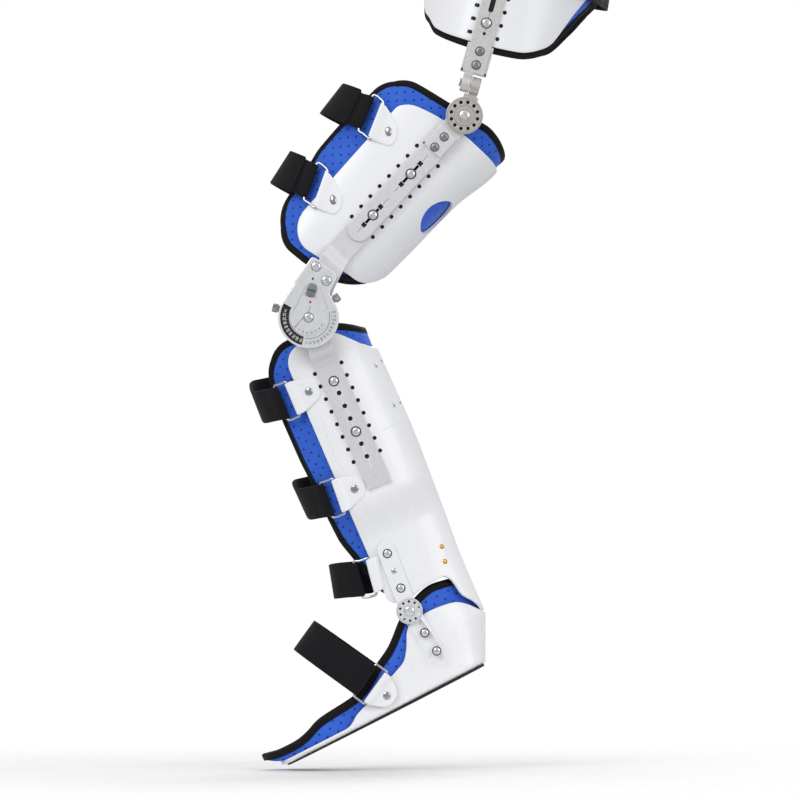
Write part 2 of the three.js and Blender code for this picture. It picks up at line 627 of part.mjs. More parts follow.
// ---------------------------------------------------------------- thigh
const THIGH_L = 156; // outer face of the thigh plastic
const LOWER_L = THIGH_L + GAP; // lower bar
const UPPER_L = LOWER_L + BAR_T + GAP; // upper bar lies on it
{
  const f = wall(THIGH_SHELL);
  const holes = [];
  for (const p of [-17.5, 17.5]) for (let i = 0; i < 8; i++) holes.push([(p < 0 ? 65 : 66) + i * HOLE_PITCH, p]);
  // Round window at the back.
  const [wx, wz] = TH(112, 54.3);
  const BACKWARD = 0.911,
    OUTWARD = 0.412; // direction the window faces
  const hole = (() => {
    const g = new THREE.CylinderGeometry(25.4, 25.4, 44, 24);
    const m = new THREE.Matrix4().makeBasis(
      new THREE.Vector3(OUTWARD * THIGH_BACK[0], BACKWARD, OUTWARD * THIGH_BACK[1]),
      new THREE.Vector3(BACKWARD * THIGH_BACK[0], -OUTWARD, BACKWARD * THIGH_BACK[1]),
      new THREE.Vector3(THIGH_DOWN[0], 0, THIGH_DOWN[1]),
    );
    m.setPosition(wx, -117.5, wz);
    if (m.determinant() < 0) m.multiply(new THREE.Matrix4().makeScale(1, -1, 1));
    g.applyMatrix4(m);
    const t = turned(g);
    return new wasm.Manifold(new wasm.Mesh({ numProp: 3, ...t }));
  })();
  add("thigh_shell", minus(solid(wallBody(f, 22, 8, 0, SHELL)), ...rowHoles(TH, holes, THIGH_L), hole), WHITE());
  const fl = wall(THIGH_LINER);
  add("thigh_liner", wallBody(fl, 20, 7, LINER_IN, LINER_IN + PAD, BIND_W + LINER_CUT + 3), BLUE());
  add("thigh_binding", binding(fl, 20, 8, LINER_IN + PAD / 2, BIND_W, BIND_T), BLACK());
}
{
  const slotA = bar(TH(88, 0), TH(103, 0), 6.4, UPPER_L - 2, UPPER_L + 6, true, true);
  const slotB = bar(TH(153, 0), TH(170, 0), 6.4, UPPER_L - 2, UPPER_L + 6, true, true);
  const upper = union(
    disc(HIP, 19, UPPER_L, UPPER_L + BAR_T, 28),
    bar(TH(0, 0), TH(186, 0), BAR_W - 4, UPPER_L, UPPER_L + BAR_T, false, true),
    bar(TH(26, 0), TH(58, 0), 30, UPPER_L, UPPER_L + BAR_T),
    bar(TH(26.5, 0), TH(57.5, 0), 26, UPPER_L + 2, UPPER_L + 6.2),
  );
  add("thigh_bar_upper", minus(upper, slotA, slotB, disc(HIP, 4.6, UPPER_L - 2, UPPER_L + 6, 16)), STEEL());
}
add("hip_pivot_screw", screw(HIP, 6.6, KNUCKLE.l + 0.95, 3, UPPER_L + 0.3, 4.2), CHROME());
const KNEE_UP = { u: 304.6, p: 26.6 }; // knee axis in the thigh frame
const KNEE_L = UPPER_L + BAR_T + GAP; // thigh-side knee plate
{
  const flat = bar(TH(74, 0), TH(222, 0), BAR_W - 1, LOWER_L, LOWER_L + BAR_T, true, false);
  const step = jog(TH(221.8, 0), TH(238, 3), BAR_W - 1, BAR_W, LOWER_L, KNEE_L, BAR_T);
  const head = bar(TH(237.5, 3), TH(262, 10), BAR_W, KNEE_L, KNEE_L + BAR_T);
  const neck = bar(TH(255, 8), TH(KNEE_UP.u, KNEE_UP.p), BAR_W, KNEE_L, KNEE_L + BAR_T);
  add(
    "thigh_bar_lower",
    minus(
      union(flat, step, head, neck, disc(KNEE, DIAL_R - 1, KNEE_L, KNEE_L + BAR_T, 36)),
      disc(KNEE, 5, KNEE_L - 2, KNEE_L + 8, 16),
    ),
    STEEL(),
  );
  for (const [name, u] of [["thigh_screw_upper", 95], ["thigh_screw_lower", 162]])
    add(name, screw(TH(u, 0), 5.8, UPPER_L + BAR_T + 0.35, 3.2), CHROME());
}
// Knee layers, outward: thigh plate, calf plate, two stop levers, cover.
const CALF_PLATE_L = KNEE_L + BAR_T + GAP;
const LEVER_L = [CALF_PLATE_L + BAR_T + GAP, CALF_PLATE_L + BAR_T + GAP + 2.0];
const COVER_L = LEVER_L[1] + 1.7 + GAP;
const COVER_T = 2.6;
{
  // Teardrop cover: a dial disc with a plate that runs up the thigh bar (offsets from the knee axis, X Z).
  const k = (x, z) => [KNEE[0] + x, KNEE[1] + z];
  const tear = plate(
    [k(-32, 17), k(-17, 40.3), k(-15.5, 46), k(3.8, 72.6), k(9, 71), k(33, 52.5), k(34, 48.5), k(31.5, 42.5), k(24.5, 29), k(34.5, 10), k(0, 0)].reverse(),
    COVER_L,
    COVER_L + COVER_T,
  );
  const slideSlot = bar(k(1.2, 24), k(5.8, 41), 4.4, COVER_L - 2, COVER_L + 8, true, true);
  // Back wall of the cover down to the thigh plate, above the moving discs.
  const post = plate([k(-9, 47), k(3, 68), k(27, 50), k(16, 43.2)].reverse(), KNEE_L + BAR_T + 0.3, COVER_L + 0.4);
  add(
    "knee_cover",
    minus(union(disc(KNEE, DIAL_R, COVER_L, COVER_L + COVER_T, 44), tear, post), disc(KNEE, 5, COVER_L - 2, COVER_L + 8, 16), slideSlot),
    STEEL(),
  );
  add("knee_pivot_screw", screw(KNEE, 6.4, COVER_L + COVER_T + 0.35, 2.4, KNEE_L + 0.2, 4.3), CHROME());
  const sl = union(
    bar(k(2.4, 28), k(4.8, 37), 11.5, COVER_L + COVER_T + 0.35, COVER_L + COVER_T + 3.6),
    bar(k(2.6, 28.6), k(4.4, 35.6), 3.4, COVER_L + 0.3, COVER_L + COVER_T + 1),
  );
  add("lock_slider", sl, GREY());
  // Stop levers: a ring round the axis with a thumb knob outside the dial.
  const lever = (deg, l, t) => {
    const d = [Math.cos(rad(deg)), Math.sin(rad(deg))];
    const q = (r) => [KNEE[0] + d[0] * r, KNEE[1] + d[1] * r];
    const web = bar(q(20), q(41), 7, l, l + t);
    const knob = disc(q(42), 4.4, l, COVER_L + 1.6, 14);
    return minus(union(disc(KNEE, 27, l, l + t, 32), web, knob), disc(KNEE, 5, l - 2, l + 9, 16));
  };
  add("stop_knob_front", lever(164, LEVER_L[0], 1.6), GREY());
  add("stop_knob_back", lever(35, LEVER_L[1], 1.6), GREY());
}
// ---------------------------------------------------------------- straps, rings and tabs
// Place on a limb: a = distance round the front from the ring, o = distance off the plastic, w = across the strap.
// slope: climb of the strap's middle line, shear: lean of its ends, bulge: lift at the front, far: rise towards the inner side, flare: lower edge forward of the upper.
function strapMap(rows, place, u0, pRing, slope, bulge = 0, shear = slope, far = 0, flare = 0) {
  const N = 120,
    phi0 = angleAt(rows, ROUND, u0, pRing),
    list = [];
  const pos = (phi) => section(rows, ROUND, u0, phi, 0);
  const lo = phi0 + 0.9,
    hi = -Math.PI - 0.75;
  let acc = 0,
    prev = pos(lo);
  for (let i = 0; i <= N; i++) {
    const phi = lerp(lo, hi, i / N),
      q = pos(phi);
    acc += Math.hypot(q[0] - prev[0], q[1] - prev[1]);
    prev = q;
    list.push({ a: acc, phi });
  }
  let zero = 0;
  for (const r of list) if (r.phi >= phi0) zero = r.a;
  const phiOf = (a) => {
    const x = a + zero;
    let i = 0;
    while (i < N - 1 && list[i + 1].a < x) i++;
    const t = (x - list[i].a) / (list[i + 1].a - list[i].a || 1);
    return lerp(list[i].phi, list[i + 1].phi, Math.max(-0.5, Math.min(1.5, t)));
  };
  const f = (a, o, w) => {
    const mid = phiOf(a),
      turn = Math.max(-1, Math.min(1, Math.cos(mid) / Math.cos(phi0)));
    const phi = phiOf(a - shear * w * turn),
      x = Math.max(0, Math.min(1, (a - 12) / 80));
    const line = u0 + slope * Math.max(0, pRing - pos(mid)[0]) - far * x * x * (3 - 2 * x);
    const s0 = Math.abs(Math.sin(phi0)),
      fore = Math.max(0, (-Math.sin(mid) - s0) / (1 - s0)),
      off = bulge * fore;
    const [p, l] = section(rows, ROUND, line, phi, -o - off);
    const hi2 = section(rows, ROUND, line + 25, phi, -o - off),
      lo2 = section(rows, ROUND, line - 25, phi, -o - off);
    return at(place(line + w, p + ((hi2[0] - lo2[0]) / 50 - flare * fore) * w), l + ((hi2[1] - lo2[1]) / 50) * w);
  };
  f.arcTo = (phi) => {
    for (const r of list) if (r.phi <= phi) return r.a - zero;
    return list[N].a - zero;
  };
  return f;
}
// Folded strip: a turn round a wire, seen from the side as (a, o) points, then a flat run of stations, all pushed across its width.
function folded(map, turn, hole, run, width) {
  const P = [],
    T = [],
    flat = [...turn, ...hole],
    n = flat.length;
  for (const w of [-width / 2, width / 2]) {
    for (const q of flat) P.push(map(q[0], q[1], w));
    for (const q of run.slice(1)) P.push(map(q.a, q.lo, w * (q.k ?? 1)), map(q.a, q.hi, w * (q.k ?? 1)));
  }
  const half = n + 2 * (run.length - 1);
  const low = (i) => (i === 0 ? turn.length - 1 : n + 2 * (i - 1)),
    high = (i) => (i === 0 ? 0 : n + 2 * (i - 1) + 1);
  const cap = (a, b, c) => T.push([a, b, c], [half + a, half + c, half + b]);
  const side = (a, b) => T.push([a, half + a, b], [b, half + a, half + b]);
  const v2 = (list) => list.map((q) => new THREE.Vector2(q[0], q[1]));
  const area = THREE.ShapeUtils.area(v2(turn)),
    sign = area > 0;
  for (const [a, b, c] of THREE.ShapeUtils.triangulateShape(v2(turn), [v2(hole)])) cap(a, b, c);
  const wallEdge = (a, b) => (sign ? side(a, b) : side(b, a));
  for (let i = 0; i + 1 < turn.length; i++) wallEdge(i, i + 1);
  for (let i = 0; i < hole.length; i++) {
    const a = turn.length + i,
      b = turn.length + ((i + 1) % hole.length);
    if (THREE.ShapeUtils.area(v2(hole)) < 0) side(a, b);
    else side(b, a);
  }
  for (let i = 0; i + 1 < run.length; i++) {
    if (sign) cap(low(i), low(i + 1), high(i + 1)), cap(low(i), high(i + 1), high(i));
    else cap(low(i), high(i + 1), low(i + 1)), cap(low(i), high(i), high(i + 1));
    wallEdge(low(i), low(i + 1));
    wallEdge(high(i + 1), high(i));
  }
  const e = run.length - 1;
  wallEdge(low(e), high(e));
  return solid(body(P, T));
}
const eye = (a, o, r, n = 8) => ring2([a, o], r, n).reverse();
const RING_LEN = 17; // wire to wire, round the limb
const WIRE_O = 4.1; // wire middle above the plastic
// Strap from the front wire round the front of the limb to the far side, folded back on itself for FOLD.
const FOLD = 44;
const STEP = 12; // stations along a strap
function turnPoints(a, R, lo, hi, reach, way) {
  const out = [[a + way * reach, hi]];
  for (let i = 0; i <= 8; i++) {
    const t = Math.PI / 2 + (Math.PI * i) / 8;
    out.push([a + way * R * Math.cos(t), WIRE_O + R * Math.sin(t)]);
  }
  out.push([a + way * reach, lo]);
  return out;
}
function strapParts(end) {
  const R = WIRE / 2 + 0.5 + STRAP_T * 0.9,
    a = RING_LEN / 2,
    lo = 0.5,
    top = lo + 2 * STRAP_T + 0.4;
  const run = [{ a: a + 14, lo, hi: top }, { a: a + 30, lo, hi: top - 0.2 }, { a: a + FOLD, lo, hi: top - 0.4 }, { a: a + FOLD + 0.8, lo, hi: lo + STRAP_T }];
  const n = Math.ceil((end - a - FOLD - 0.8) / STEP);
  for (let i = 1; i <= n; i++) run.push({ a: lerp(a + FOLD + 0.8, end, i / n), lo, hi: lo + STRAP_T });
  return { turn: turnPoints(a, R, lo, top, 14, 1), run };
}
function tabParts(len) {
  const R = WIRE / 2 + 0.5 + 1.5,
    a = -RING_LEN / 2,
    n = Math.max(1, Math.round((len - 9) / 9)),
    run = [];
  for (let i = 0; i <= n; i++) run.push({ a: lerp(a - 9, a - len, i / n), lo: 0.9, hi: lerp(3.6, 3.2, i / n), k: len > 20 ? lerp(1, 0.45, i / n) : 1 });
  return { turn: turnPoints(a, R, 0.9, 3.6, 9, -1), run };
}
function ringBody(map, width) {
  const a = RING_LEN / 2,
    w = width / 2 + 2,
    c = 2.2,
    pts = [];
  for (const [x, y] of [
    [-a, -w + c], [-a, 0], [-a, w - c], [-a + c, w], [a - c, w], [a, w - c], [a, 0], [a, -w + c], [a - c, -w], [-a + c, -w],
  ])
    pts.push(map(x, WIRE_O, y));
  const mid = pts.reduce((s, q) => s.add(q), new THREE.Vector3()).divideScalar(pts.length);
  const nrm = map(0, WIRE_O + 5, 0).sub(map(0, WIRE_O, 0)).normalize();
  const n = pts.length;
  const sec = pts.map((q, i) => {
    const d1 = q.clone().sub(pts[(i + n - 1) % n]).normalize(),
      d2 = pts[(i + 1) % n].clone().sub(q).normalize();
    const tan = d1.clone().add(d2).normalize();
    let side = new THREE.Vector3().crossVectors(nrm, tan).normalize();
    if (side.dot(q.clone().sub(mid)) < 0) side.negate();
    const cosHalf = Math.max(0.5, d1.dot(tan));
    const up = nrm.clone();
    const out = [];
    for (let k = 0; k < 6; k++) {
      const t = (2 * Math.PI * k) / 6;
      out.push(q.clone().addScaledVector(side, ((WIRE / 2) * Math.cos(t)) / cosHalf).addScaledVector(up, (WIRE / 2) * Math.sin(t)));
    }
    return out;
  });
  return sweepLoop(sec);
}
function strapSet(name, n, map, farPhi, tabLen, width = STRAP_W) {
  const r = WIRE / 2 + 0.8;
  const strap = strapParts(map.arcTo(farPhi)),
    tab = tabParts(tabLen);
  add(`${name}_strap_${n}`, folded(map, strap.turn, eye(RING_LEN / 2, WIRE_O, r), strap.run, width - 2), BLACK());
  add(`${name}_ring_${n}`, ringBody(map, width), CHROME());
  add(`${name}_tab_${n}`, folded(map, tab.turn, eye(-RING_LEN / 2, WIRE_O, r), tab.run, width - 2), WHITE());
}
const FAR = -Math.PI - 0.32; // end of a strap on the inner side
strapSet("thigh", "upper", strapMap(THIGH_SECTIONS, TH, 75.5, -82, 0.36, 4), FAR, 30);
strapSet("thigh", "lower", strapMap(THIGH_SECTIONS, TH, 181, -75, 0.34, 7), FAR, 30);
strapSet("calf", "upper", strapMap(CALF_SECTIONS, CF, 81.5, -64, -0.2, -1, 0, 14), FAR, 32);
strapSet("calf", "middle", strapMap(CALF_SECTIONS, CF, 210.5, -60, -0.2, -1, -0.05, 12), FAR, 32);
strapSet("calf", "lower", strapMap(CALF_SECTIONS, CF, 315, -62, -0.42, 4, -0.15, 0, 0.45), FAR, 10.5);
// ---------------------------------------------------------------- calf
const CALF_L = 150;
const CALF_BAR_P = -3;
{
  const l0 = CALF_L + GAP,
    b = CALF_BAR_P;
  const holes = [];
  for (const p of [-20.4, 14.4]) for (let i = 0; i < 8; i++) holes.push([65 + i * HOLE_PITCH, p]);
  add("calf_shell", minus(solid(wallBody(wall(CALF_SHELL), 26, CALF_LEVELS.length, 0, SHELL, 0, true)), ...rowHoles(CF, holes, CALF_L)), WHITE());
  const fl = wall(CALF_LINER);
  add("calf_liner", wallBody(fl, 20, CALF_LEVELS.length + 1, LINER_IN, LINER_IN + PAD, BIND_W + LINER_CUT, true), BLUE());
  add("calf_binding", binding(fl, 20, 9, LINER_IN + PAD / 2, BIND_W, PAD), BLACK());
  const flat = bar(CF(58, b), CF(218.5, b), BAR_W - 2, l0, l0 + BAR_T);
  const step = jog(CF(58.2, b), CF(43, b), BAR_W - 2, BAR_W - 2, l0, CALF_PLATE_L, BAR_T);
  const top = bar(CF(43.4, b), CF(0, 0), BAR_W - 2, CALF_PLATE_L, CALF_PLATE_L + BAR_T);
  const cut = [97.5, 114.5, 131, 164, 180.5].map((u) => disc(CF(u, b), 2.2, l0 - 2, l0 + 8, 6));
  add(
    "calf_bar",
    minus(
      union(flat, step, top, disc(KNEE, DIAL_R - 2, CALF_PLATE_L, CALF_PLATE_L + BAR_T, 36)),
      disc(KNEE, 5, CALF_PLATE_L - 2, CALF_PLATE_L + 8, 16),
      ...cut,
    ),
    STEEL(),
  );
  for (const [name, u] of [["calf_screw_upper", 81.9], ["calf_screw_lower", 148]])
    add(name, screw(CF(u, b), 5.8, l0 + BAR_T + 0.35, 3.2), CHROME());
  add("ankle_upper_plate", minus(bar(CF(293, -27), ANKLE, 22, 130.5, 132.7, true, false), disc(ANKLE, 9, 128, 136, 20)), STEEL());
}
// ---------------------------------------------------------------- foot
// Outline of the foot on the sole, k from the toe to the heel: f forward, w half width, lean outward to the ankle.
const FOOT_PLAN = [
  { k: 0, f: 216, w: 32, lean: 0 },
  { k: 0.12, f: 186, w: 44, lean: 0 },
  { k: 0.32, f: 128, w: 48, lean: 0 },
  { k: 0.5, f: 74, w: 45.5, lean: 0 },
  { k: 0.62, f: 36, w: 41, lean: 2 },
  { k: 0.72, f: 4, w: 39, lean: 5 },
  { k: 0.8, f: -21, w: 37, lean: 4 },
  { k: 0.88, f: -40, w: 30.5, lean: 3 },
  { k: 0.95, f: -50, w: 17, lean: 1 },
  { k: 1, f: -53, w: 0, lean: 0 },
];
const SOLE_H = -97.5; // underside of the plastic
const FOOT_MID = 88;
const FOOT_SHELL_TOP = [
  { k: 0, top: -90.5 },
  { k: 0.3, top: -90.5 },
  { k: 0.355, top: -80 },
  { k: 0.43, top: -73 },
  { k: 0.555, top: -59 },
  { k: 0.615, top: -47 },
  { k: 0.655, top: -33 },
  { k: 0.69, top: -18 },
  { k: 0.73, top: -11 },
  { k: 0.79, top: -11 },
  { k: 0.885, top: -17 },
  { k: 1, top: -44 },
];
const FOOT_LINER_TOP = [
  { k: 0, top: -78 },
  { k: 0.12, top: -76 },
  { k: 0.23, top: -68 },
  { k: 0.4, top: -61 },
  { k: 0.535, top: -39 },
  { k: 0.595, top: -29 },
  { k: 0.65, top: -16 },
  { k: 0.69, top: -10.5 },
  { k: 0.74, top: -8 },
  { k: 0.8, top: -4 },
  { k: 0.9, top: -1 },
  { k: 1, top: 0 },
];
// Foot wall point: s round the foot from the outer toe to the inner toe, h height, inset inward.
function footPoint(s, h, inset, toe = 0) {
  const k = 1 - Math.abs(1 - 2 * s),
    side = s < 0.5 ? 1 : -1;
  const c = (name, q = k) => col(FOOT_PLAN, "k", name, q);
  const up = Math.max(0, h - SOLE_H);
  const x = Math.max(0, (k - 0.7) / 0.3);
  const rise = Math.min(up, 55.5);
  const hullF = (q) => c("f", q),
    e = 0.004;
  let f = hullF(k),
    w = c("w");
  // Step in along the plan normal.
  const df = hullF(Math.min(1, k + e)) - hullF(Math.max(0, k - e)),
    dw = c("w", Math.min(1, k + e)) - c("w", Math.max(0, k - e));
  const len = Math.hypot(df, dw) || 1;
  let nf = -dw / len,
    nw = df / len;
  if (k > 0.995) (nf = 1), (nw = 0);
  else if (nw > 0) (nf = -nf), (nw = -nw);
  if (k < 0.12) (nf = 0), (nw = -1);
  f += nf * inset + toe * Math.max(0, 1 - k / 0.3);
  w += nw * inset - 0.5 * toe * Math.max(0, 1 - k / 0.2);
  f += -0.52 * rise * x * x;
  w += c("lean") * Math.min(1, up / 60);
  const round = Math.max(0, 7 - up);
  w = Math.max(0, w - (7 - Math.sqrt(Math.max(0, 49 - round * round))) * 0.8);
  return [f, side * w];
}
function footWall(topRows, soleH, in0, in1, floorT, nk, nt, trim, toe) {
  const P = [],
    T = [],
    n = 2 * nk + 1;
  const layer = (inset, bottom) => {
    const start = P.length;
    for (let i = 0; i < n; i++) {
      const s = i / (n - 1),
        k = 1 - Math.abs(1 - 2 * s),
        top = col(topRows, "k", "top", k) - trim;
      for (let j = 0; j <= nt; j++) {
        const h = j === nt ? bottom : lerp(top, Math.min(bottom + 8, top - 1), j / (nt - 1));
        const [f, w] = footPoint(s, h, inset, toe);
        P.push(at(FT(f, h), FOOT_MID + w));
      }
    }
    return start;
  };
  const A = layer(in0, soleH),
    B = layer(in1, soleH + floorT);
  const id = (o, i, j) => o + i * (nt + 1) + j;
  const quad = (a, b, c, d) => T.push([a, b, c], [a, c, d]);
  for (let i = 0; i < n - 1; i++) {
    for (let j = 0; j < nt; j++) {
      quad(id(A, i, j), id(A, i + 1, j), id(A, i + 1, j + 1), id(A, i, j + 1));
      quad(id(B, i, j), id(B, i, j + 1), id(B, i + 1, j + 1), id(B, i + 1, j));
    }
    quad(id(A, i, 0), id(B, i, 0), id(B, i + 1, 0), id(A, i + 1, 0));
  }
  for (let i = 0; i < nk; i++) {
    const m = n - 1 - i;
    if (i + 1 === m - 1) {
      T.push([id(A, i, nt), id(A, i + 1, nt), id(A, m, nt)]);
      T.push([id(B, i, nt), id(B, m, nt), id(B, i + 1, nt)]);
    } else {
      quad(id(A, i, nt), id(A, i + 1, nt), id(A, m - 1, nt), id(A, m, nt));
      quad(id(B, i, nt), id(B, m, nt), id(B, m - 1, nt), id(B, i + 1, nt));
    }
  }
  for (let j = 0; j < nt; j++) {
    quad(id(A, 0, j), id(A, 0, j + 1), id(B, 0, j + 1), id(B, 0, j));
    quad(id(A, n - 1, j), id(B, n - 1, j), id(B, n - 1, j + 1), id(A, n - 1, j + 1));
  }
  quad(id(A, 0, nt), id(A, n - 1, nt), id(B, n - 1, nt), id(B, 0, nt));
  return body(P, T);
}
const TOE_OUT = 20; // the liner reaches past the plastic at the toe
{
  add("foot_shell", footWall(FOOT_SHELL_TOP, SOLE_H, 0, SHELL, SHELL, 17, 5, 0, 0), WHITE());
  const lf = SOLE_H + LINER_IN;
  add("foot_liner", footWall(FOOT_LINER_TOP, lf, LINER_IN + 0.8, LINER_IN + PAD, PAD, 18, 5, BIND_W + 1.8, TOE_OUT), BLUE());
  // Bound edge along the top of the foot liner, and across the toe.
  const N = 60,
    sec = [];
  const mid = LINER_IN + PAD / 2,
    ht = PAD / 2;
  for (let i = 0; i <= N; i++) {
    const s = i / N,
      k = 1 - Math.abs(1 - 2 * s),
      top = col(FOOT_LINER_TOP, "k", "top", k);
    const q = (h, ins) => {
      const [f, w] = footPoint(s, h, ins, TOE_OUT);
      return at(FT(f, h), FOOT_MID + w);
    };
    sec.push([q(top - BIND_W, mid - ht), q(top, mid - ht), q(top, mid + ht), q(top - BIND_W, mid + ht)]);
  }
  const P = sec.flat(),
    T = [];
  for (let i = 0; i < N; i++)
    for (let j = 0; j < 4; j++) {
      const a = i * 4 + j,
        b = i * 4 + ((j + 1) % 4);
      T.push([a, b, b + 4], [a, b + 4, a + 4]);
    }
  T.push([0, 2, 1], [0, 3, 2]);
  const z = N * 4;
  T.push([z, z + 1, z + 2], [z, z + 2, z + 3]);
  add("foot_binding", body(P, T), BLACK());
  // Thin sole under the plastic.
  const SOLE_T = 2.6,
    pts = [];
  for (let i = 0; i <= 48; i++) {
    const [f, w] = footPoint(i / 48, SOLE_H + 7, 1, 0);
    pts.push([f, w]);
  }
  const SP = [],
    ST = [];
  for (const h of [SOLE_H - GAP, SOLE_H - GAP - SOLE_T])
    for (const [f, w] of pts) SP.push(at(FT(Math.max(f, -50), h), FOOT_MID + w));
  const n = pts.length;
  for (let i = 0; i < n; i++) {
    const j = (i + 1) % n;
    ST.push([i, j, n + j], [i, n + j, n + i]);
  }
  for (let i = 0; i < (n - 1) / 2; i++) {
    const m = n - 1 - i;
    if (i + 1 === m - 1) ST.push([i, m, i + 1], [n + i, n + i + 1, n + m]);
    else ST.push([i, m, m - 1], [i, m - 1, i + 1], [n + i, n + i + 1, n + m - 1], [n + i, n + m - 1, n + m]);
  }
  add("foot_sole", body(SP, ST), BLACK());
}
{
  const L0 = 133.1;
  const rim = [];
  for (let i = 0; i < 8; i++) {
    const a = rad(22 + 45 * i);
    rim.push(disc([ANKLE[0] + 11.6 * Math.cos(a), ANKLE[1] + 11.6 * Math.sin(a)], 1.5, L0 - 2, L0 + 6, 6));
  }
  add(
    "ankle_disc",
    minus(
      union(disc(ANKLE, ANKLE_DISC_R, L0, L0 + 3.4, 30), bar(ANKLE, FT(-6, -60), 22, L0, L0 + 2.4, false, true)),
      disc(ANKLE, 4, L0 - 2, L0 + 6, 14),
      ...rim,
    ),
    STEEL(),
  );
  add("ankle_pivot_screw", screw(ANKLE, 6, L0 + 3.4 + 0.35, 2.4), CHROME());
}
// Instep strap: an arch over the foot, across the direction of its width.
const INSTEP = { f: 85, h: -50, rise: 89, width: 43.5 };
{
  const ex = [0.89, -0.456],
    ey = [0.456, 0.89]; // along the width, up the arch (f, h)
  const N = 100,
    half = 49.5,
    list = [];
  // Arch: q up, y out; super ellipse with its foot on the ring.
  const arch = (t) => {
    const c = Math.cos(t),
      s = Math.sin(t);
    return [-26 + 109 * Math.abs(s) ** 0.8 * Math.sign(s), half * Math.sign(c) * Math.abs(c) ** 0.8];
  };
  let acc = 0,
    prev = arch(-0.35);
  for (let i = 0; i <= N; i++) {
    const t = lerp(-0.35, Math.PI + 0.3, i / N),
      q = arch(t);
    acc += Math.hypot(q[0] - prev[0], q[1] - prev[1]);
    prev = q;
    list.push({ a: acc, t, q });
  }
  let zero = 0;
  for (const r of list) if (r.t < 1.2 && r.q[0] <= -12) zero = r.a;
  const map = (a, o, w) => {
    const x = a + zero;
    let i = 0;
    while (i < N - 1 && list[i + 1].a < x) i++;
    const tt = (x - list[i].a) / (list[i + 1].a - list[i].a || 1);
    const q = [lerp(list[i].q[0], list[i + 1].q[0], tt), lerp(list[i].q[1], list[i + 1].q[1], tt)];
    const d = [list[i + 1].q[0] - list[i].q[0], list[i + 1].q[1] - list[i].q[1]];
    const l = Math.hypot(d[0], d[1]) || 1;
    const nq = [-d[1] / l, d[0] / l];
    const y = q[1] + nq[1] * o * 1,
      up = q[0] + nq[0] * o;
    const f0 = 85 - -6.3 * ey[0],
      h0 = -50 - -6.3 * ey[1];
    const f = f0 + up * ey[0] + w * ex[0],
      h = h0 + up * ey[1] + w * ex[1];
    return at(FT(f, h), FOOT_MID + y);
  };
  map.arcTo = () => list[N - 6].a - zero;
  strapSet("foot", "instep", map, 0, 26, INSTEP.width);
}
export default root;
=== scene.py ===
import math

import bmesh
import bpy
import numpy as np
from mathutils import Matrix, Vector


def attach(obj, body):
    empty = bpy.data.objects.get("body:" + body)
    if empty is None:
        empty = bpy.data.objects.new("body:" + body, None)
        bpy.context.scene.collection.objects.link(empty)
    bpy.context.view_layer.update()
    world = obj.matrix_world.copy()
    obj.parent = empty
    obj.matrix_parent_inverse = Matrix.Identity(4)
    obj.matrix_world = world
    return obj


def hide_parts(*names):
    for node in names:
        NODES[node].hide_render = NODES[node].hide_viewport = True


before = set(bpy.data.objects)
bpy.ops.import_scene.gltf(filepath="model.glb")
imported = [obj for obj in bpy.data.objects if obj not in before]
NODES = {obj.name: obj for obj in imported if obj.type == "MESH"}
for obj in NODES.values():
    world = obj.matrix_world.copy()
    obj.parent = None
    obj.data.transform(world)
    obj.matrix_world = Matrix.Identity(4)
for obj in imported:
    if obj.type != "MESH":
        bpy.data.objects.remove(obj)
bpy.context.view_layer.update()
rng = np.random.default_rng(7)
PI = math.pi

# ------------------------------------------------------------------ frames
HIP, KNEE, ANKLE = (-54.7, -150.8), (-241.6, -393.1), (-120.6, -745.8)


def plane(o, d, n):
    return lambda u, p: (o[0] + u * d[0] + p * n[0], o[1] + u * d[1] + p * n[1])


PV = plane(HIP, (0.27, 0.963), (0.963, -0.27))  # up the pelvic bar, back
TH = plane(HIP, (-0.677, -0.736), (0.736, -0.677))  # down the thigh bar, back
CF = plane(KNEE, (0.402, -0.9157), (0.9157, 0.402))  # down the calf bar, back
FT = plane(ANKLE, (-0.889, -0.4579), (-0.4579, 0.889))  # forward along the sole, up
SHELL, PAD, LINER_IN, BIND_W = 3.4, 5.4, 4.7, 8.6
CORNER = 1 - 1 / math.sqrt(2)


def at(xz, lat):
    x, z, lat = np.broadcast_arrays(xz[0], xz[1], lat)
    return np.stack([x, -lat, z], -1).astype(float)


class Table:
    """Rows of numbers, the first the key; a smooth column between them."""

    def __init__(self, *rows):
        self.r = np.array(rows, float)

    def __call__(self, j, x):
        k, v = self.r[:, 0], self.r[:, j]
        x = np.clip(np.asarray(x, float), k[0], k[-1])
        h = np.diff(k)
        st = np.diff(v) / h
        m = np.zeros(len(k))
        m[0], m[-1] = st[0], st[-1]
        a, b = st[:-1], st[1:]
        ok = a * b > 0
        m[1:-1][ok] = (2 * a * b)[ok] / (a + b)[ok]
        i = np.clip(np.searchsorted(k, x, side="right") - 1, 0, len(h) - 1)
        t = (x - k[i]) / h[i]
        t2, t3 = t * t, t * t * t
        return (
            (2 * t3 - 3 * t2 + 1) * v[i]
            + (t3 - 2 * t2 + t) * h[i] * m[i]
            + (3 * t2 - 2 * t3) * v[i + 1]
            + (t3 - t2) * h[i] * m[i + 1]
        )


def setback(x, r):
    r = np.asarray(r, float)
    return np.where(x >= r, 0.0, r - np.sqrt(np.maximum(0, r * r - (r - x) ** 2)))


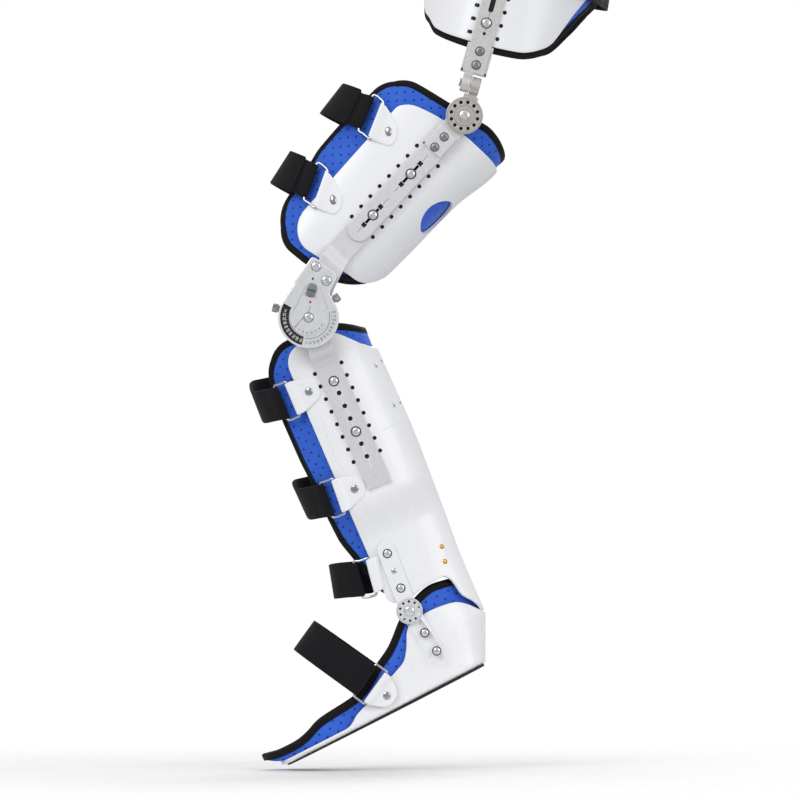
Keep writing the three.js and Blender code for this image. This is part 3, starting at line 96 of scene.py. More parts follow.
# along, mid, front, back, centre, outer, inner
THIGH = Table((-15, -5, 124, 80, 80, 76, 74), (30, -5, 124, 79, 80, 76, 75), (85, -5, 122, 70.5, 80, 76, 74), (190, -5, 108, 67, 80, 76, 68), (262, -5, 94, 58, 80, 76, 60))
CALF = Table((10, -3, 90, 66, 86, 64, 60), (70, -3, 96, 64, 86, 64, 60), (150, -3, 97, 64.5, 86, 64, 58), (224, -6, 93, 65, 86.4, 63.6, 54), (278, -17, 82, 73, 88, 42, 46), (345, -28, 60, 80.5, 88, 42, 43), (420, -31, 58, 83, 88, 42, 42))
PELVIS = Table((70, 6, 104, 122, 0, 160, 160), (140, 6, 104, 118, 0, 160, 160), (240, 6, 100, 108, 0, 160, 158))


def section(tab, pw, along, phi, inset):
    s, c, e = np.sin(phi), np.cos(phi), 2 / pw
    depth = np.where(s >= 0, tab(3, along), tab(2, along)) - inset
    width = np.where(c >= 0, tab(5, along), tab(6, along)) - inset
    return tab(1, along) + depth * np.sign(s) * np.abs(s) ** e, tab(4, along) + width * np.sign(c) * np.abs(c) ** e


def angle_at(tab, pw, along, p):
    d = p - tab(1, along)
    r = d / np.where(d >= 0, tab(3, along), tab(2, along))
    return np.arcsin(np.sign(r) * np.minimum(1, np.abs(r)) ** (pw / 2))


def wall(tab, place, girth, corner, rim, front, stations=None, pw=2.4):
    """An open wall round a limb: s from the outer front edge round the back to the inner front edge, t from top to bottom."""
    to, ti, bo, bi = corner

    def f(s, t, inset, trim=0.0, flat=False):
        s, t = np.broadcast_arrays(np.asarray(s, float), np.asarray(t, float))
        side = np.minimum(s, 1 - s) * girth
        rt, rb = np.where(s < 0.5, to, ti), np.where(s < 0.5, bo, bi)
        top = rim(1, s) + setback(side + CORNER * rt, rt) + trim
        bot = rim(2, s) - setback(side + CORNER * rb, rb) - trim
        if stations is None:
            along = top + (bot - top) * t
        else:
            lv = [top] + [np.full_like(top, v) for v in stations] + [bot]
            x = t * (len(lv) - 1)
            i = np.minimum(len(lv) - 2, np.floor(x).astype(int))
            a, b = np.choose(i, lv[:-1]), np.choose(i, lv[1:])
            along = a + (b - a) * (x - i)

        def edge(q, w):
            return setback(along - top + CORNER * q, q) + setback(bot - along + CORNER * w, w) + trim

        a0 = angle_at(tab, pw, along, front(1, along) + edge(to, bo))
        a1 = PI - angle_at(tab, pw, along, front(2, along) + edge(ti, bi))
        phi = a0 + (a1 - a0) * s
        p, l = section(tab, pw, along, phi, inset)
        if flat:
            return phi, along
        return at(place(along, p), l)

    return f


def mirrored(*rows):
    return Table(*rows, *[(1 - r[0], *r[1:]) for r in reversed(rows) if r[0] < 0.5])


THIGH_SHELL = wall(
    THIGH, TH, 360, (14, 26, 34, 34),
    Table((0, 36, 247), (0.05, 27, 247), (0.112, 19.5, 243), (0.2, 16.5, 236), (0.3, 16.5, 233), (0.352, 17, 229), (0.4, 18, 222), (0.5, 22, 208), (0.62, 28, 214), (0.8, 38, 238), (1, 52, 246)),
    Table((20, -68, -60), (120, -67, -62), (250, -65, -60)),
)
THIGH_LINER = wall(
    THIGH, TH, 430, (34, 40, 46, 46),
    Table((0, 16, 262), (0.06, 9, 262), (0.12, 3, 261), (0.185, -4, 256), (0.28, -10.5, 245), (0.33, -9, 236), (0.38, -6, 224), (0.5, 2, 206), (0.62, 9, 230), (0.8, 20, 254), (1, 32, 262)),
    Table((0, -104, -84), (60, -107, -90), (110, -109, -92), (145, -108, -92), (165, -104.5, -92), (218, -95.5, -88), (240, -91.5, -85), (262, -86, -82)),
)
CALF_LEVELS = [60, 84, 120, 180, 222, 240, 260, 280, 312]
CALF_SHELL = wall(
    CALF, CF, 290, (24, 24, 10, 10),
    mirrored((0, 24, 355), (0.07, 24, 357), (0.15, 27, 352), (0.24, 43.5, 350), (0.285, 52, 359), (0.31, 55, 379), (0.37, 61, 390), (0.5, 67, 407)),
    Table((20, -46, -46), (100, -48.5, -48), (300, -50, -49), (360, -51, -50)), CALF_LEVELS[1:],
)
CALF_LINER = wall(
    CALF, CF, 340, (40, 40, 26, 26),
    mirrored((0, 16, 350), (0.1, 14, 348), (0.2, 14.5, 341), (0.26, 19.5, 342), (0.33, 27, 350), (0.41, 34, 352), (0.5, 37, 353)),
    Table((10, -77, -72), (60, -80.5, -74), (100, -84.5, -74), (150, -84.5, -74), (180, -83, -74), (255, -80.5, -74), (290, -72, -68), (345, -58, -58), (370, -55, -55)), CALF_LEVELS,
)
PELVIS_RIM = Table((0, 110, 226), (0.06, 105, 228), (0.14, 93, 231), (0.25, 89, 234), (0.38, 88, 235), (0.52, 90.5, 235), (0.64, 104.5, 234), (0.74, 137.5, 232), (0.84, 167, 230), (1, 186, 228))


def rear_set(p, l):
    x = np.clip((30 - l) / 90, 0, 1)
    return np.where(p > 6, (p - 6) * 0.1 * x * x * (3 - 2 * x), 0.0)


def girdle(side, rise, more):
    """Half girdle wall: s from the front edge to the back edge on one side."""

    def f(s, t, inset, trim=0.0, flat=False):
        s, t = np.broadcast_arrays(np.asarray(s, float), np.asarray(t, float))
        r = 22.0
        sx = np.minimum(s, 1 - s) * 300
        low = PELVIS_RIM(1, s) + (10 if side < 0 else 0) + (0 if rise else 9 * np.clip((s - 0.675) / 0.08, 0, 1)) - rise * (1 + 0.9 * np.maximum(0, 1 - np.abs(s - 0.82) / 0.2)) + setback(sx + CORNER * r, r) + trim
        high = PELVIS_RIM(2, s) + rise - setback(sx + CORNER * r, r) - trim
        along, h = low + (high - low) * t, high - low
        edge = (setback(t * h + CORNER * r, r) + setback((1 - t) * h + CORNER * r, r) + trim - more) / 2.05
        phi = np.radians(-60 + edge + (142 - 2 * edge) * s)
        p, l = section(PELVIS, 2.3, along, phi, inset)
        if flat:
            return phi, along
        return at(PV(along, p + rear_set(p, side * l)), side * l)

    return f


# ------------------------------------------------------------------ meshes
def spread(n, k=0.55):
    x = np.linspace(0, 1, n + 1)
    return x + k * (0.5 * (1 - np.cos(PI * x)) - x)


def make(name, pts, faces, material, mm=None, angle=None, smooth=True):
    me = bpy.data.meshes.new(name)
    me.from_pydata((np.asarray(pts, float) * 0.001).tolist(), [], [tuple(int(i) for i in f) for f in faces])
    bm = bmesh.new()
    bm.from_mesh(me)
    if mm is None:
        bmesh.ops.remove_doubles(bm, verts=bm.verts, dist=2e-6)
        bmesh.ops.dissolve_degenerate(bm, edges=bm.edges, dist=1e-6)
    bmesh.ops.recalc_face_normals(bm, faces=bm.faces)
    bm.to_mesh(me)
    bm.free()
    me.update()
    ob = bpy.data.objects.new(name, me)
    bpy.context.scene.collection.objects.link(ob)
    me.materials.append(material)
    if mm is not None:
        a = me.attributes.new("mm", "FLOAT_VECTOR", "POINT")
        full = np.zeros((len(me.vertices), 3))
        full[: len(mm), : mm.shape[1]] = mm
        a.data.foreach_set("vector", full.astype(np.float32).ravel())
    shade(ob, angle, smooth)
    return ob


def shade(ob, angle=None, smooth=True):
    me = ob.data
    me.polygons.foreach_set("use_smooth", [smooth] * len(me.polygons))
    if angle is not None:
        me.set_sharp_from_angle(angle=math.radians(angle))
    me.update()


def join(name, obs):
    """Several meshes as one piece, materials kept."""
    mats, bm = [], bmesh.new()
    for o in obs:
        for m in o.data.materials:
            if m not in mats:
                mats.append(m)
    for o in obs:
        part = bmesh.new()
        part.from_mesh(o.data)
        look = [mats.index(m) for m in o.data.materials]
        for fc in part.faces:
            fc.material_index = look[fc.material_index]
        tmp = bpy.data.meshes.new("tmp")
        part.to_mesh(tmp)
        part.free()
        bm.from_mesh(tmp)
        bpy.data.meshes.remove(tmp)
    me = bpy.data.meshes.new(name)
    bm.to_mesh(me)
    bm.free()
    for m in mats:
        me.materials.append(m)
    for o in obs:
        old = o.data
        bpy.data.objects.remove(o)
        bpy.data.meshes.remove(old)
    ob = bpy.data.objects.new(name, me)
    bpy.context.scene.collection.objects.link(ob)
    return ob


def border(ns, nt):
    """Grid places round the edge of a grid, in order."""
    w = nt + 1
    out = [i * w for i in range(ns)]
    out += [ns * w + j for j in range(nt)]
    out += [(ns - i) * w + nt for i in range(ns)]
    out += [nt - j for j in range(nt)]
    return out


def slab(name, f, s, t, layers, material, mm=None, angle=None):
    """Closed wall: full grids for the first and last (inset, trim), edge loops for those between."""
    ns, nt = len(s) - 1, len(t) - 1
    S, T = np.meshgrid(s, t, indexing="ij")
    n = (ns + 1) * (nt + 1)
    rim = np.array(border(ns, nt))
    P = [f(S, T, *layers[0]).reshape(-1, 3), f(S, T, *layers[-1]).reshape(-1, 3)]
    loops = [rim]
    for k, (inset, trim) in enumerate(layers[1:-1]):
        P.append(f(S.ravel()[rim], T.ravel()[rim], inset, trim))
        loops.append(2 * n + k * len(rim) + np.arange(len(rim)))
    loops.append(n + rim)
    i, j = np.meshgrid(np.arange(ns), np.arange(nt), indexing="ij")
    a = (i * (nt + 1) + j).ravel()
    F = np.stack([a, a + nt + 1, a + nt + 2, a + 1], -1)
    faces = F.tolist() + (F[:, ::-1] + n).tolist()
    for lo, hi in zip(loops[:-1], loops[1:]):
        nl, nh = np.roll(lo, -1), np.roll(hi, -1)
        faces += np.stack([lo, hi, nh, nl], -1).tolist()
    pts = np.concatenate(P)
    coords = None
    if mm is not None:
        q = mm(S, T).reshape(-1, 2)
        coords = np.concatenate([q, q] + [q[rim]] * (len(layers) - 2))
    return make(name, pts, faces, material, coords, angle)


def sweep(name, loops, material, closed=True, angle=None, mm=None):
    """Tube through equal section loops; open ones get flat ends."""
    L = np.asarray(loops, float)
    n, k = L.shape[:2]
    faces = []
    for i in range(n if closed else n - 1):
        a, b = i * k, ((i + 1) % n) * k
        for j in range(k):
            q = (j + 1) % k
            faces.append((a + j, a + q, b + q, b + j))
    if not closed:
        faces.append(tuple(range(k))[::-1])
        faces.append(tuple(range((n - 1) * k, n * k)))
    return make(name, L.reshape(-1, 3), faces, material, mm, angle)


def unit(v):
    return v / np.maximum(1e-9, np.linalg.norm(v, axis=-1, keepdims=True))


# ------------------------------------------------------------------ materials
def lin(h):
    """Hex colour as linear RGBA."""
    c = [int(h[i : i + 2], 16) / 255 for i in (1, 3, 5)]
    return tuple(x / 12.92 if x <= 0.04045 else ((x + 0.055) / 1.055) ** 2.4 for x in c) + (1.0,)


class Look:
    """A procedural material under construction."""

    def __init__(self, name, metal=0.0, **constant):
        self.m = bpy.data.materials.new(name)
        self.m.use_nodes = True
        self.t = self.m.node_tree
        self.bsdf = self.t.nodes["Principled BSDF"]
        self.bsdf.inputs["Metallic"].default_value = metal
        for k, v in constant.items():
            self.bsdf.inputs[k.replace("_", " ")].default_value = v
        self.where = self.t.nodes.new("ShaderNodeTexCoord").outputs["Object"]

    def node(self, kind, inputs=None, **props):
        n = self.t.nodes.new(kind)
        for k, v in props.items():
            setattr(n, k, v)
        for k, v in (inputs or {}).items():
            if hasattr(v, "is_output"):
                self.t.links.new(v, n.inputs[k])
            else:
                n.inputs[k].default_value = v
        return n

    def math(self, op, a, b=0.0, c=0.0):
        n = self.node("ShaderNodeMath", operation=op)
        for i, v in enumerate((a, b, c)):
            if hasattr(v, "is_output"):
                self.t.links.new(v, n.inputs[i])
            else:
                n.inputs[i].default_value = v
        return n.outputs[0]

    def noise(self, scale, detail=3.0, rough=0.55, stretch=None):
        v = self.where
        if stretch:
            v = self.node("ShaderNodeMapping", {"Vector": v, "Scale": stretch}).outputs[0]
        return self.node("ShaderNodeTexNoise", {"Vector": v, "Scale": scale, "Detail": detail, "Roughness": rough}).outputs["Fac"]

    def ramp(self, fac, *stops):
        n = self.node("ShaderNodeValToRGB", {"Fac": fac})
        e = n.color_ramp.elements
        while len(e) < len(stops):
            e.new(0.5)
        for k, (pos, c) in zip(e, stops):
            k.position, k.color = pos, c
        return n.outputs["Color"]

    def span(self, fac, lo, hi, a=0.3, b=0.7):
        return self.node("ShaderNodeMapRange", {"Value": fac, "From Min": a, "From Max": b, "To Min": lo, "To Max": hi}).outputs[0]

    def mix(self, fac, a, b):
        n = self.t.nodes.new("ShaderNodeMix")
        n.data_type = "RGBA"
        for k, v in ((n.inputs[0], fac), (n.inputs[6], a), (n.inputs[7], b)):
            if hasattr(v, "is_output"):
                self.t.links.new(v, k)
            else:
                k.default_value = v
        return n.outputs[2]

    def set(self, color=None, rough=None, height=None, dist=0.0001, strength=1.0):
        if color is not None:
            self.t.links.new(color, self.bsdf.inputs["Base Color"])
        if rough is not None:
            self.t.links.new(rough, self.bsdf.inputs["Roughness"])
        if height is not None:
            b = self.node("ShaderNodeBump", {"Height": height, "Distance": dist, "Strength": strength})
            self.t.links.new(b.outputs[0], self.bsdf.inputs["Normal"])
        return self.m


def plastic(name, light, shade_, r0, r1, coat=0.0):
    k = Look(name, 0.0, Specular_IOR_Level=0.45, Coat_Weight=coat, Coat_Roughness=0.12)
    a = k.noise(9.0, 2.0)
    b = k.noise(420.0, 2.0)
    c = k.ramp(a, (0.3, lin(shade_)), (0.7, lin(light)))
    return k.set(c, k.span(k.noise(30.0, 3.0), r0, r1), b, 0.00004, 0.35)


def metal(name, light, dark, r0, r1, stretch=(1, 1, 1), scale=160.0, bump=0.00002, share=1.0):
    k = Look(name, share)
    a = k.noise(scale, 3.0, 0.6, stretch)
    b = k.noise(14.0, 2.0)
    c = k.mix(k.span(a, 0, 1, 0.3, 0.7), k.ramp(b, (0.3, lin(dark)), (0.7, lin(light))), lin(light))
    return k.set(c, k.span(a, r0, r1), a, bump, 0.5)


def cloth(name, light, dark, scale, bump, sheen, r0=0.75, r1=0.95):
    k = Look(name, 0.0, Sheen_Weight=sheen, Sheen_Roughness=0.5, Specular_IOR_Level=0.2)
    a = k.noise(scale, 4.0, 0.7)
    v = k.node("ShaderNodeTexVoronoi", {"Vector": k.where, "Scale": scale * 0.8}).outputs["Distance"]
    b = k.noise(25.0, 3.0)
    f = k.math("ADD", k.math("MULTIPLY", a, 0.6), k.math("MULTIPLY", b, 0.4))
    c = k.ramp(f, (0.3, lin(dark)), (0.72, lin(light)))
    return k.set(c, k.span(a, r0, r1), k.math("ADD", a, v), bump, 0.7)


WHITE = plastic("white_plastic", "#f6f6f8", "#f0f1f4", 0.2, 0.34, 0.15)
# painted shade: navy for the blue foam seen in shadow down the pelvic holes
LINER_SHADE_NAVY = plastic("painted_liner_shade", "#161d40", "#0d1128", 0.5, 0.7)
# painted shade: near-black for the dark seen down holes and slots and in tight corners
HOLE_SHADE_BLACK = plastic("painted_hole_shade", "#0c0d12", "#060609", 0.5, 0.7)
RUBBER = plastic("sole_rubber", "#1b1b1e", "#111113", 0.6, 0.8)
RED = plastic("red_dot", "#e0222a", "#c4161e", 0.25, 0.35)
DIAL_BLACK = plastic("dial_black", "#17181b", "#0e0f11", 0.35, 0.5)
DIAL_WHITE = plastic("dial_white", "#fbfbfb", "#f2f2f2", 0.4, 0.5)
DIAL_INK = plastic("dial_ink", "#54565c", "#3f4146", 0.5, 0.6)
SEAM = plastic("seam_shadow", "#b9bcc4", "#aaaeb7", 0.5, 0.6)
CHROME = metal("bright_steel", "#c9cbce", "#babcc0", 0.12, 0.22, scale=90.0, bump=0.000006)
RIVET = metal("rivet_steel", "#b4b5b8", "#a0a1a5", 0.14, 0.24, scale=90.0, bump=0.000006)
SCREW = metal("screw_steel", "#e4e5e8", "#d8d9dd", 0.14, 0.24, scale=90.0, bump=0.000006, share=0.8)
SATIN = metal("satin_bar", "#e4e4e6", "#dbdbde", 0.36, 0.5, (1, 1, 1), 260.0, share=0.45)
HIPBAR = metal("satin_hip", "#dad8d5", "#cfcdca", 0.36, 0.5, (1, 1, 1), 260.0, share=0.5)
COVER = metal("knee_cover_satin", "#e9eaed", "#e0e1e5", 0.28, 0.38, (1, 1, 1), 200.0, share=0.5)
COVER_RIM = metal("knee_cover_rim", "#f6f7f9", "#f0f1f4", 0.2, 0.3, share=0.5)
ENAMEL = plastic("white_enamel", "#f4f5f7", "#eeeff2", 0.25, 0.36)
GREY = metal("grey_metal", "#a3a4a6", "#8b8c8f", 0.36, 0.5, (1, 1, 1), 220.0)
WARM = metal("warm_disc", "#cfcac3", "#bdb8b0", 0.3, 0.46, (1, 1, 6), 180.0, share=0.7)
DARKSTEEL = metal("dark_ring", "#66676b", "#525358", 0.35, 0.5)
BRASS = metal("brass", "#d9a94a", "#c08f34", 0.2, 0.32)
BINDING = cloth("black_binding", "#111113", "#070708", 900.0, 0.00012, 0.04, 0.6, 0.85)
WEB = cloth("black_webbing", "#17171b", "#0b0b0d", 1100.0, 0.00025, 0.06)


def pad():
    """Foam cloth with rows of small holes, from the piece's own millimetre coordinates; each hole is a bump dip with a
    near-navy dot of painted shade.
    """
    k = Look("blue_pad", 0.0, Sheen_Weight=0.18, Sheen_Roughness=0.45, Specular_IOR_Level=0.25)
    mm = k.node("ShaderNodeAttribute", attribute_name="mm", attribute_type="GEOMETRY").outputs["Vector"]
    x = k.node("ShaderNodeSeparateXYZ", {"Vector": mm})
    pitch, q = 10.6, math.sqrt(0.5)
    cell = []
    for sign in (1.0, -1.0):
        d = k.math("ADD", x.outputs[0], k.math("MULTIPLY", x.outputs[1], sign))
        cell.append(k.math("SUBTRACT", k.math("FRACT", k.math("MULTIPLY", d, q / pitch)), 0.5))
    v = k.node("ShaderNodeCombineXYZ", {"X": cell[0], "Y": cell[1]}).outputs[0]
    r = k.node("ShaderNodeVectorMath", {0: v}, operation="LENGTH").outputs["Value"]
    # mask of the small holes, used for their painted shade
    dot = k.node("ShaderNodeMapRange", {"Value": r, "From Min": 0.078, "From Max": 0.118, "To Min": 1.0, "To Max": 0.0}, interpolation_type="SMOOTHSTEP").outputs[0]
    dip = k.node("ShaderNodeMapRange", {"Value": r, "From Min": 0.05, "From Max": 0.24, "To Min": 1.0, "To Max": 0.0}, interpolation_type="SMOOTHSTEP").outputs[0]
    fine, wide = k.noise(700.0, 3.0), k.noise(22.0, 3.0)
    base = k.ramp(k.math("ADD", k.math("MULTIPLY", fine, 0.35), k.math("MULTIPLY", wide, 0.65)), (0.32, lin("#2c5bc9")), (0.68, lin("#3a6ddc")))
    # painted shade: the small holes are coloured near-navy
    c = k.mix(dot, base, lin("#0c1a45"))
    h = k.math("SUBTRACT", k.math("MULTIPLY", fine, 0.12), dip)
    return k.set(c, k.span(fine, 0.7, 0.88), h, 0.0011, 0.8)


BLUE = pad()
DIMPLES = True


def put(ob, body, node=None):
    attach(ob, body)
    if node:
        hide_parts(*([node] if isinstance(node, str) else node))
    return ob


def cut(ob, cutters):
    """Takes closed cutters out of a piece."""
    tool = join(ob.name + "_cut", cutters)
    m = ob.modifiers.new("cut", "BOOLEAN")
    m.operation, m.solver, m.object = "DIFFERENCE", "EXACT", tool
    dg = bpy.context.evaluated_depsgraph_get()
    new = bpy.data.meshes.new_from_object(ob.evaluated_get(dg))
    ob.modifiers.clear()
    old = ob.data
    ob.data = new
    new.name = ob.name
    bpy.data.meshes.remove(old)
    data = tool.data
    bpy.data.objects.remove(tool)
    bpy.data.meshes.remove(data)
    return ob


def lathe(name, c, prof, material, n=40, angle=35):
    """Turned piece along the outward direction: prof is (radius, outward)."""
    a = np.linspace(0, 2 * PI, n, endpoint=False)
    loops = [at((c[0] + r * np.cos(a), c[1] + r * np.sin(a)), np.full(n, l)) for r, l in prof]
    return sweep(name, loops, material, False, angle)


# ------------------------------------------------------------------ plastic, foam and bound edges
EDGE = [(0, 1.2), (0.35, 0.35), (1.2, 0), (2.2, 0), (3.05, 0.35), (SHELL, 1.2)]


def foam(f):
    """Millimetre coordinates of a liner wall."""

    def mm(S, T):
        P = f(S, T, LINER_IN, 0)
        phi, along = f(S, T, LINER_IN, 0, True)
        x = np.zeros(S.shape)
        x[1:] = np.cumsum(np.linalg.norm(np.diff(P, axis=0), axis=-1), axis=0)
        for j in range(S.shape[1]):
            x[:, j] -= np.interp(0.0, phi[:, j], x[:, j])
        return np.stack([x, along], -1)

    return mm


def liner_layers(trim):
    a, b = LINER_IN, LINER_IN + PAD
    return [(a, trim), (a + 0.9, trim - 0.5), (b - 0.9, trim - 0.5), (b, trim)]


def bound(name, f, ns, nt, half):
    """Folded tape over the edge of a wall, with a sewn line."""
    s, t = spread(ns), spread(nt)
    path = [(a, 0.0) for a in s[:-1]] + [(1.0, b) for b in t[:-1]] + [(a, 1.0) for a in s[::-1][:-1]] + [(0.0, b) for b in t[::-1][:-1]]
    q = np.array(path)
    mid = LINER_IN + PAD / 2
    B = f(q[:, 0], q[:, 1], mid)
    C = f(q[:, 0] + (0.5 - q[:, 0]) * 0.06, q[:, 1] + (0.5 - q[:, 1]) * 0.06, mid)
    O = f(q[:, 0] + (0.5 - q[:, 0]) * 0.02, q[:, 1] + (0.5 - q[:, 1]) * 0.02, mid - 2)
    return tape(name, B, C, O, half)


def tape(name, B, C, O, half, closed=True, width=BIND_W):
    tan = unit(np.roll(B, -1, 0) - np.roll(B, 1, 0)) if closed else unit(np.gradient(B, axis=0))
    inw = C - B
    inw = unit(inw - tan * np.sum(inw * tan, -1, keepdims=True))
    nrm = unit(np.cross(tan, inw))
    nrm *= np.sign(np.sum(nrm * (O - B), -1, keepdims=True))
    h, w = half, width
    up = [(w, h - 0.75), (w - 0.35, h - 0.15), (w - 1.2, h), (w - 1.75, h), (w - 2.05, h - 0.3), (w - 2.35, h), (3.2, h + 0.12), (1.6, h - 0.1), (0.55, h - 0.8), (0.1, h - 1.9)]
    prof = up + [(a, -b) for a, b in reversed(up)]
    loops = B[:, None, :] + inw[:, None, :] * np.array([a for a, b in prof])[None, :, None] + nrm[:, None, :] * np.array([b for a, b in prof])[None, :, None]
    return sweep(name, loops, BINDING, closed, 50)


def holes(place, spots, l, deep=7.0, r=2.5):
    """Cutters for small round holes with a softened edge."""
    out = []
    for i, (u, p) in enumerate(spots):
        prof = [(0.02, l + 3), (r + 0.75, l + 3), (r + 0.75, l + 0.05), (r, l - 0.7), (r, l - deep), (0.02, l - deep)]
        out.append(lathe("h%d" % i, place(u, p), prof, WHITE, 28))
    return out


def painted_shade_discs(name, place, spots, l, body, r=3.6, material=HOLE_SHADE_BLACK):
    """Dark discs behind a row of holes, between plastic and foam: painted shade for the dark seen down the holes."""
    d = [lathe("b%d" % i, place(u, p), [(0.02, l), (r, l), (r + 0.1, l - 0.25), (r, l - 0.5), (0.02, l - 0.5)], material, 20) for i, (u, p) in enumerate(spots)]
    return put(join(name, d), body)


S_SH, T_SH = spread(96), spread(72)
# pelvis
P_HOLES = [(99 + 16.5 * i, p) for p in (-20.4, 13.2) for i in range(6)]
for side, nm in ((1, "left"), (-1, "right")):
    g = girdle(side, 0, 0)
    ob = slab("look_pelvic_shell_" + nm, g, S_SH, spread(48), EDGE, WHITE)
    if side > 0:
        cut(ob, holes(PV, P_HOLES, 160.0))
    shade(ob, 32)
    put(ob, "pelvis", "pelvic_shell_" + nm)
    g = girdle(side, 7, 4)
    ob = slab("look_pelvic_liner_" + nm, g, spread(90), spread(44), liner_layers(BIND_W - 3), BLUE, foam(g))
    put(ob, "pelvis", "pelvic_liner_" + nm)
    put(bound("look_pelvic_binding_" + nm, g, 120, 50, 3.25), "pelvis", "pelvic_binding_" + nm)
# navy painted-shade discs behind the pelvic holes
painted_shade_discs("pelvic_hole_painted_shade_discs", PV, P_HOLES, 156.4, "pelvis", material=LINER_SHADE_NAVY)

# thigh
T_HOLES = [((65 if p < 0 else 66) + 16.5 * i, p) for p in (-17.5, 17.5) for i in range(8)]
ob = slab("look_thigh_shell", THIGH_SHELL, S_SH, T_SH, EDGE, WHITE)


def window():
    """Round window cutter at the back of the thigh, with a softened rim."""
    c = np.array([TH(112, 54.3)[0], -117.5, TH(112, 54.3)[1]])
    out, side, down = np.array([0.911 * 0.736, -0.412, 0.911 * -0.677]), np.array([0.412 * 0.736, 0.911, 0.412 * -0.677]), np.array([-0.677, 0, -0.736])
    a = np.linspace(0, 2 * PI, 72, endpoint=False)
    loops = [c + out * d + r * (np.cos(a)[:, None] * side + np.sin(a)[:, None] * down) for r, d in ((25.4, -22), (25.4, 22))]
    return sweep("window", loops, WHITE, False)


cut(ob, holes(TH, T_HOLES, 156.0) + [window()])
shade(ob, 32)
put(ob, "thigh", "thigh_shell")
ob = slab("look_thigh_liner", THIGH_LINER, spread(110), spread(80), liner_layers(BIND_W - 3), BLUE, foam(THIGH_LINER))
put(ob, "thigh", "thigh_liner")
put(bound("look_thigh_binding", THIGH_LINER, 130, 80, 3.3), "thigh", "thigh_binding")
# black painted-shade discs behind the thigh holes
painted_shade_discs("thigh_hole_painted_shade_discs", TH, T_HOLES, 152.4, "thigh")

# calf
C_HOLES = [(65 + 16.5 * i, p) for p in (-20.4, 14.4) for i in range(8)]
ob = slab("look_calf_shell", CALF_SHELL, spread(130), np.linspace(0, 1, 101), EDGE, WHITE)
cut(ob, holes(CF, C_HOLES, 150.0))
shade(ob, 32)
put(ob, "calf", "calf_shell")
ob = slab("look_calf_liner", CALF_LINER, spread(110), np.linspace(0, 1, 111), liner_layers(BIND_W - 3), BLUE, foam(CALF_LINER))
put(ob, "calf", "calf_liner")
put(bound("look_calf_binding", CALF_LINER, 130, 110, 3.2), "calf", "calf_binding")
# black painted-shade discs behind the calf holes
painted_shade_discs("calf_hole_painted_shade_discs", CF, C_HOLES, 146.4, "calf")


# waist belt, passing over the bar
def belt():
    phi = np.linspace(0, 2 * PI, 240, endpoint=False)
    off = (((phi + PI) % (2 * PI)) - PI + 0.08) / 0.24
    lift = 1.9 + 4.2 * np.exp(-(off**4))
    prof = [(176, 0.5), (176.5, 0.1)] + [(v, 0.0) for v in np.linspace(178, 214, 7)] + [(215.5, 0.1), (216, 0.5), (216, 2.0), (215.5, 2.45), (213.4, 2.6), (212.9, 2.35), (212.4, 2.6)]
    prof += [(v, 2.6) for v in np.linspace(206, 186, 5)] + [(179.6, 2.6), (179.1, 2.35), (178.6, 2.6), (176.5, 2.45), (176, 2.0)]
    loops = []
    for f_, li in zip(phi, lift):
        v = np.array([q[0] for q in prof], float)
        o = np.array([q[1] for q in prof], float) + li
        p, l = section(PELVIS, 2.3, v, f_, -o)
        loops.append(at(PV(v, p + rear_set(p, l)), l))
    return sweep("look_waist_belt", loops, WEB, True, 50)


put(belt(), "pelvis", "waist_belt")


# ------------------------------------------------------------------ straps, rings and tabs
def strap_map(tab, place, u0, p_ring, slope, bulge, shear=None, far=0.0, flare=0.0):
    """Place on a limb: a = round the front from the ring, o = off the plastic, w = across the strap."""
    n = 120
    shear = slope if shear is None else shear
    phi0 = float(angle_at(tab, 2.4, u0, p_ring))
    ph = np.linspace(phi0 + 0.9, -PI - 0.75, n + 1)
    p, l = section(tab, 2.4, u0, ph, 0)
    acc = np.concatenate([[0], np.cumsum(np.hypot(np.diff(p), np.diff(l)))])
    zero = acc[np.nonzero(ph >= phi0)[0][-1]]

    def phi_of(a):
        return np.interp(a + zero, acc, ph)

    def f(a, o, w):
        a, o, w = np.broadcast_arrays(np.asarray(a, float), np.asarray(o, float), np.asarray(w, float))
        mid = phi_of(a)
        turn = np.clip(np.cos(mid) / math.cos(phi0), -1, 1)
        phi = phi_of(a - shear * w * turn)
        x = np.clip((a - 42) / 60, 0, 1)
        line = u0 + slope * np.maximum(0, p_ring - section(tab, 2.4, u0, mid, 0)[0]) - far * x * x * (3 - 2 * x)
        s0 = abs(math.sin(phi0))
        fore = np.maximum(0, (-np.sin(mid) - s0) / (1 - s0))
        off = bulge * fore
        p, l = section(tab, 2.4, line, phi, -o - off)
        p1, l1 = section(tab, 2.4, line + 25, phi, -o - off)
        p2, l2 = section(tab, 2.4, line - 25, phi, -o - off)
        return at(place(line + w, p + ((p1 - p2) / 50 - flare * fore) * w), l + (l1 - l2) / 50 * w)

    f.end = float(acc[np.argmax(ph <= -PI - 0.32)] - zero)
    return f


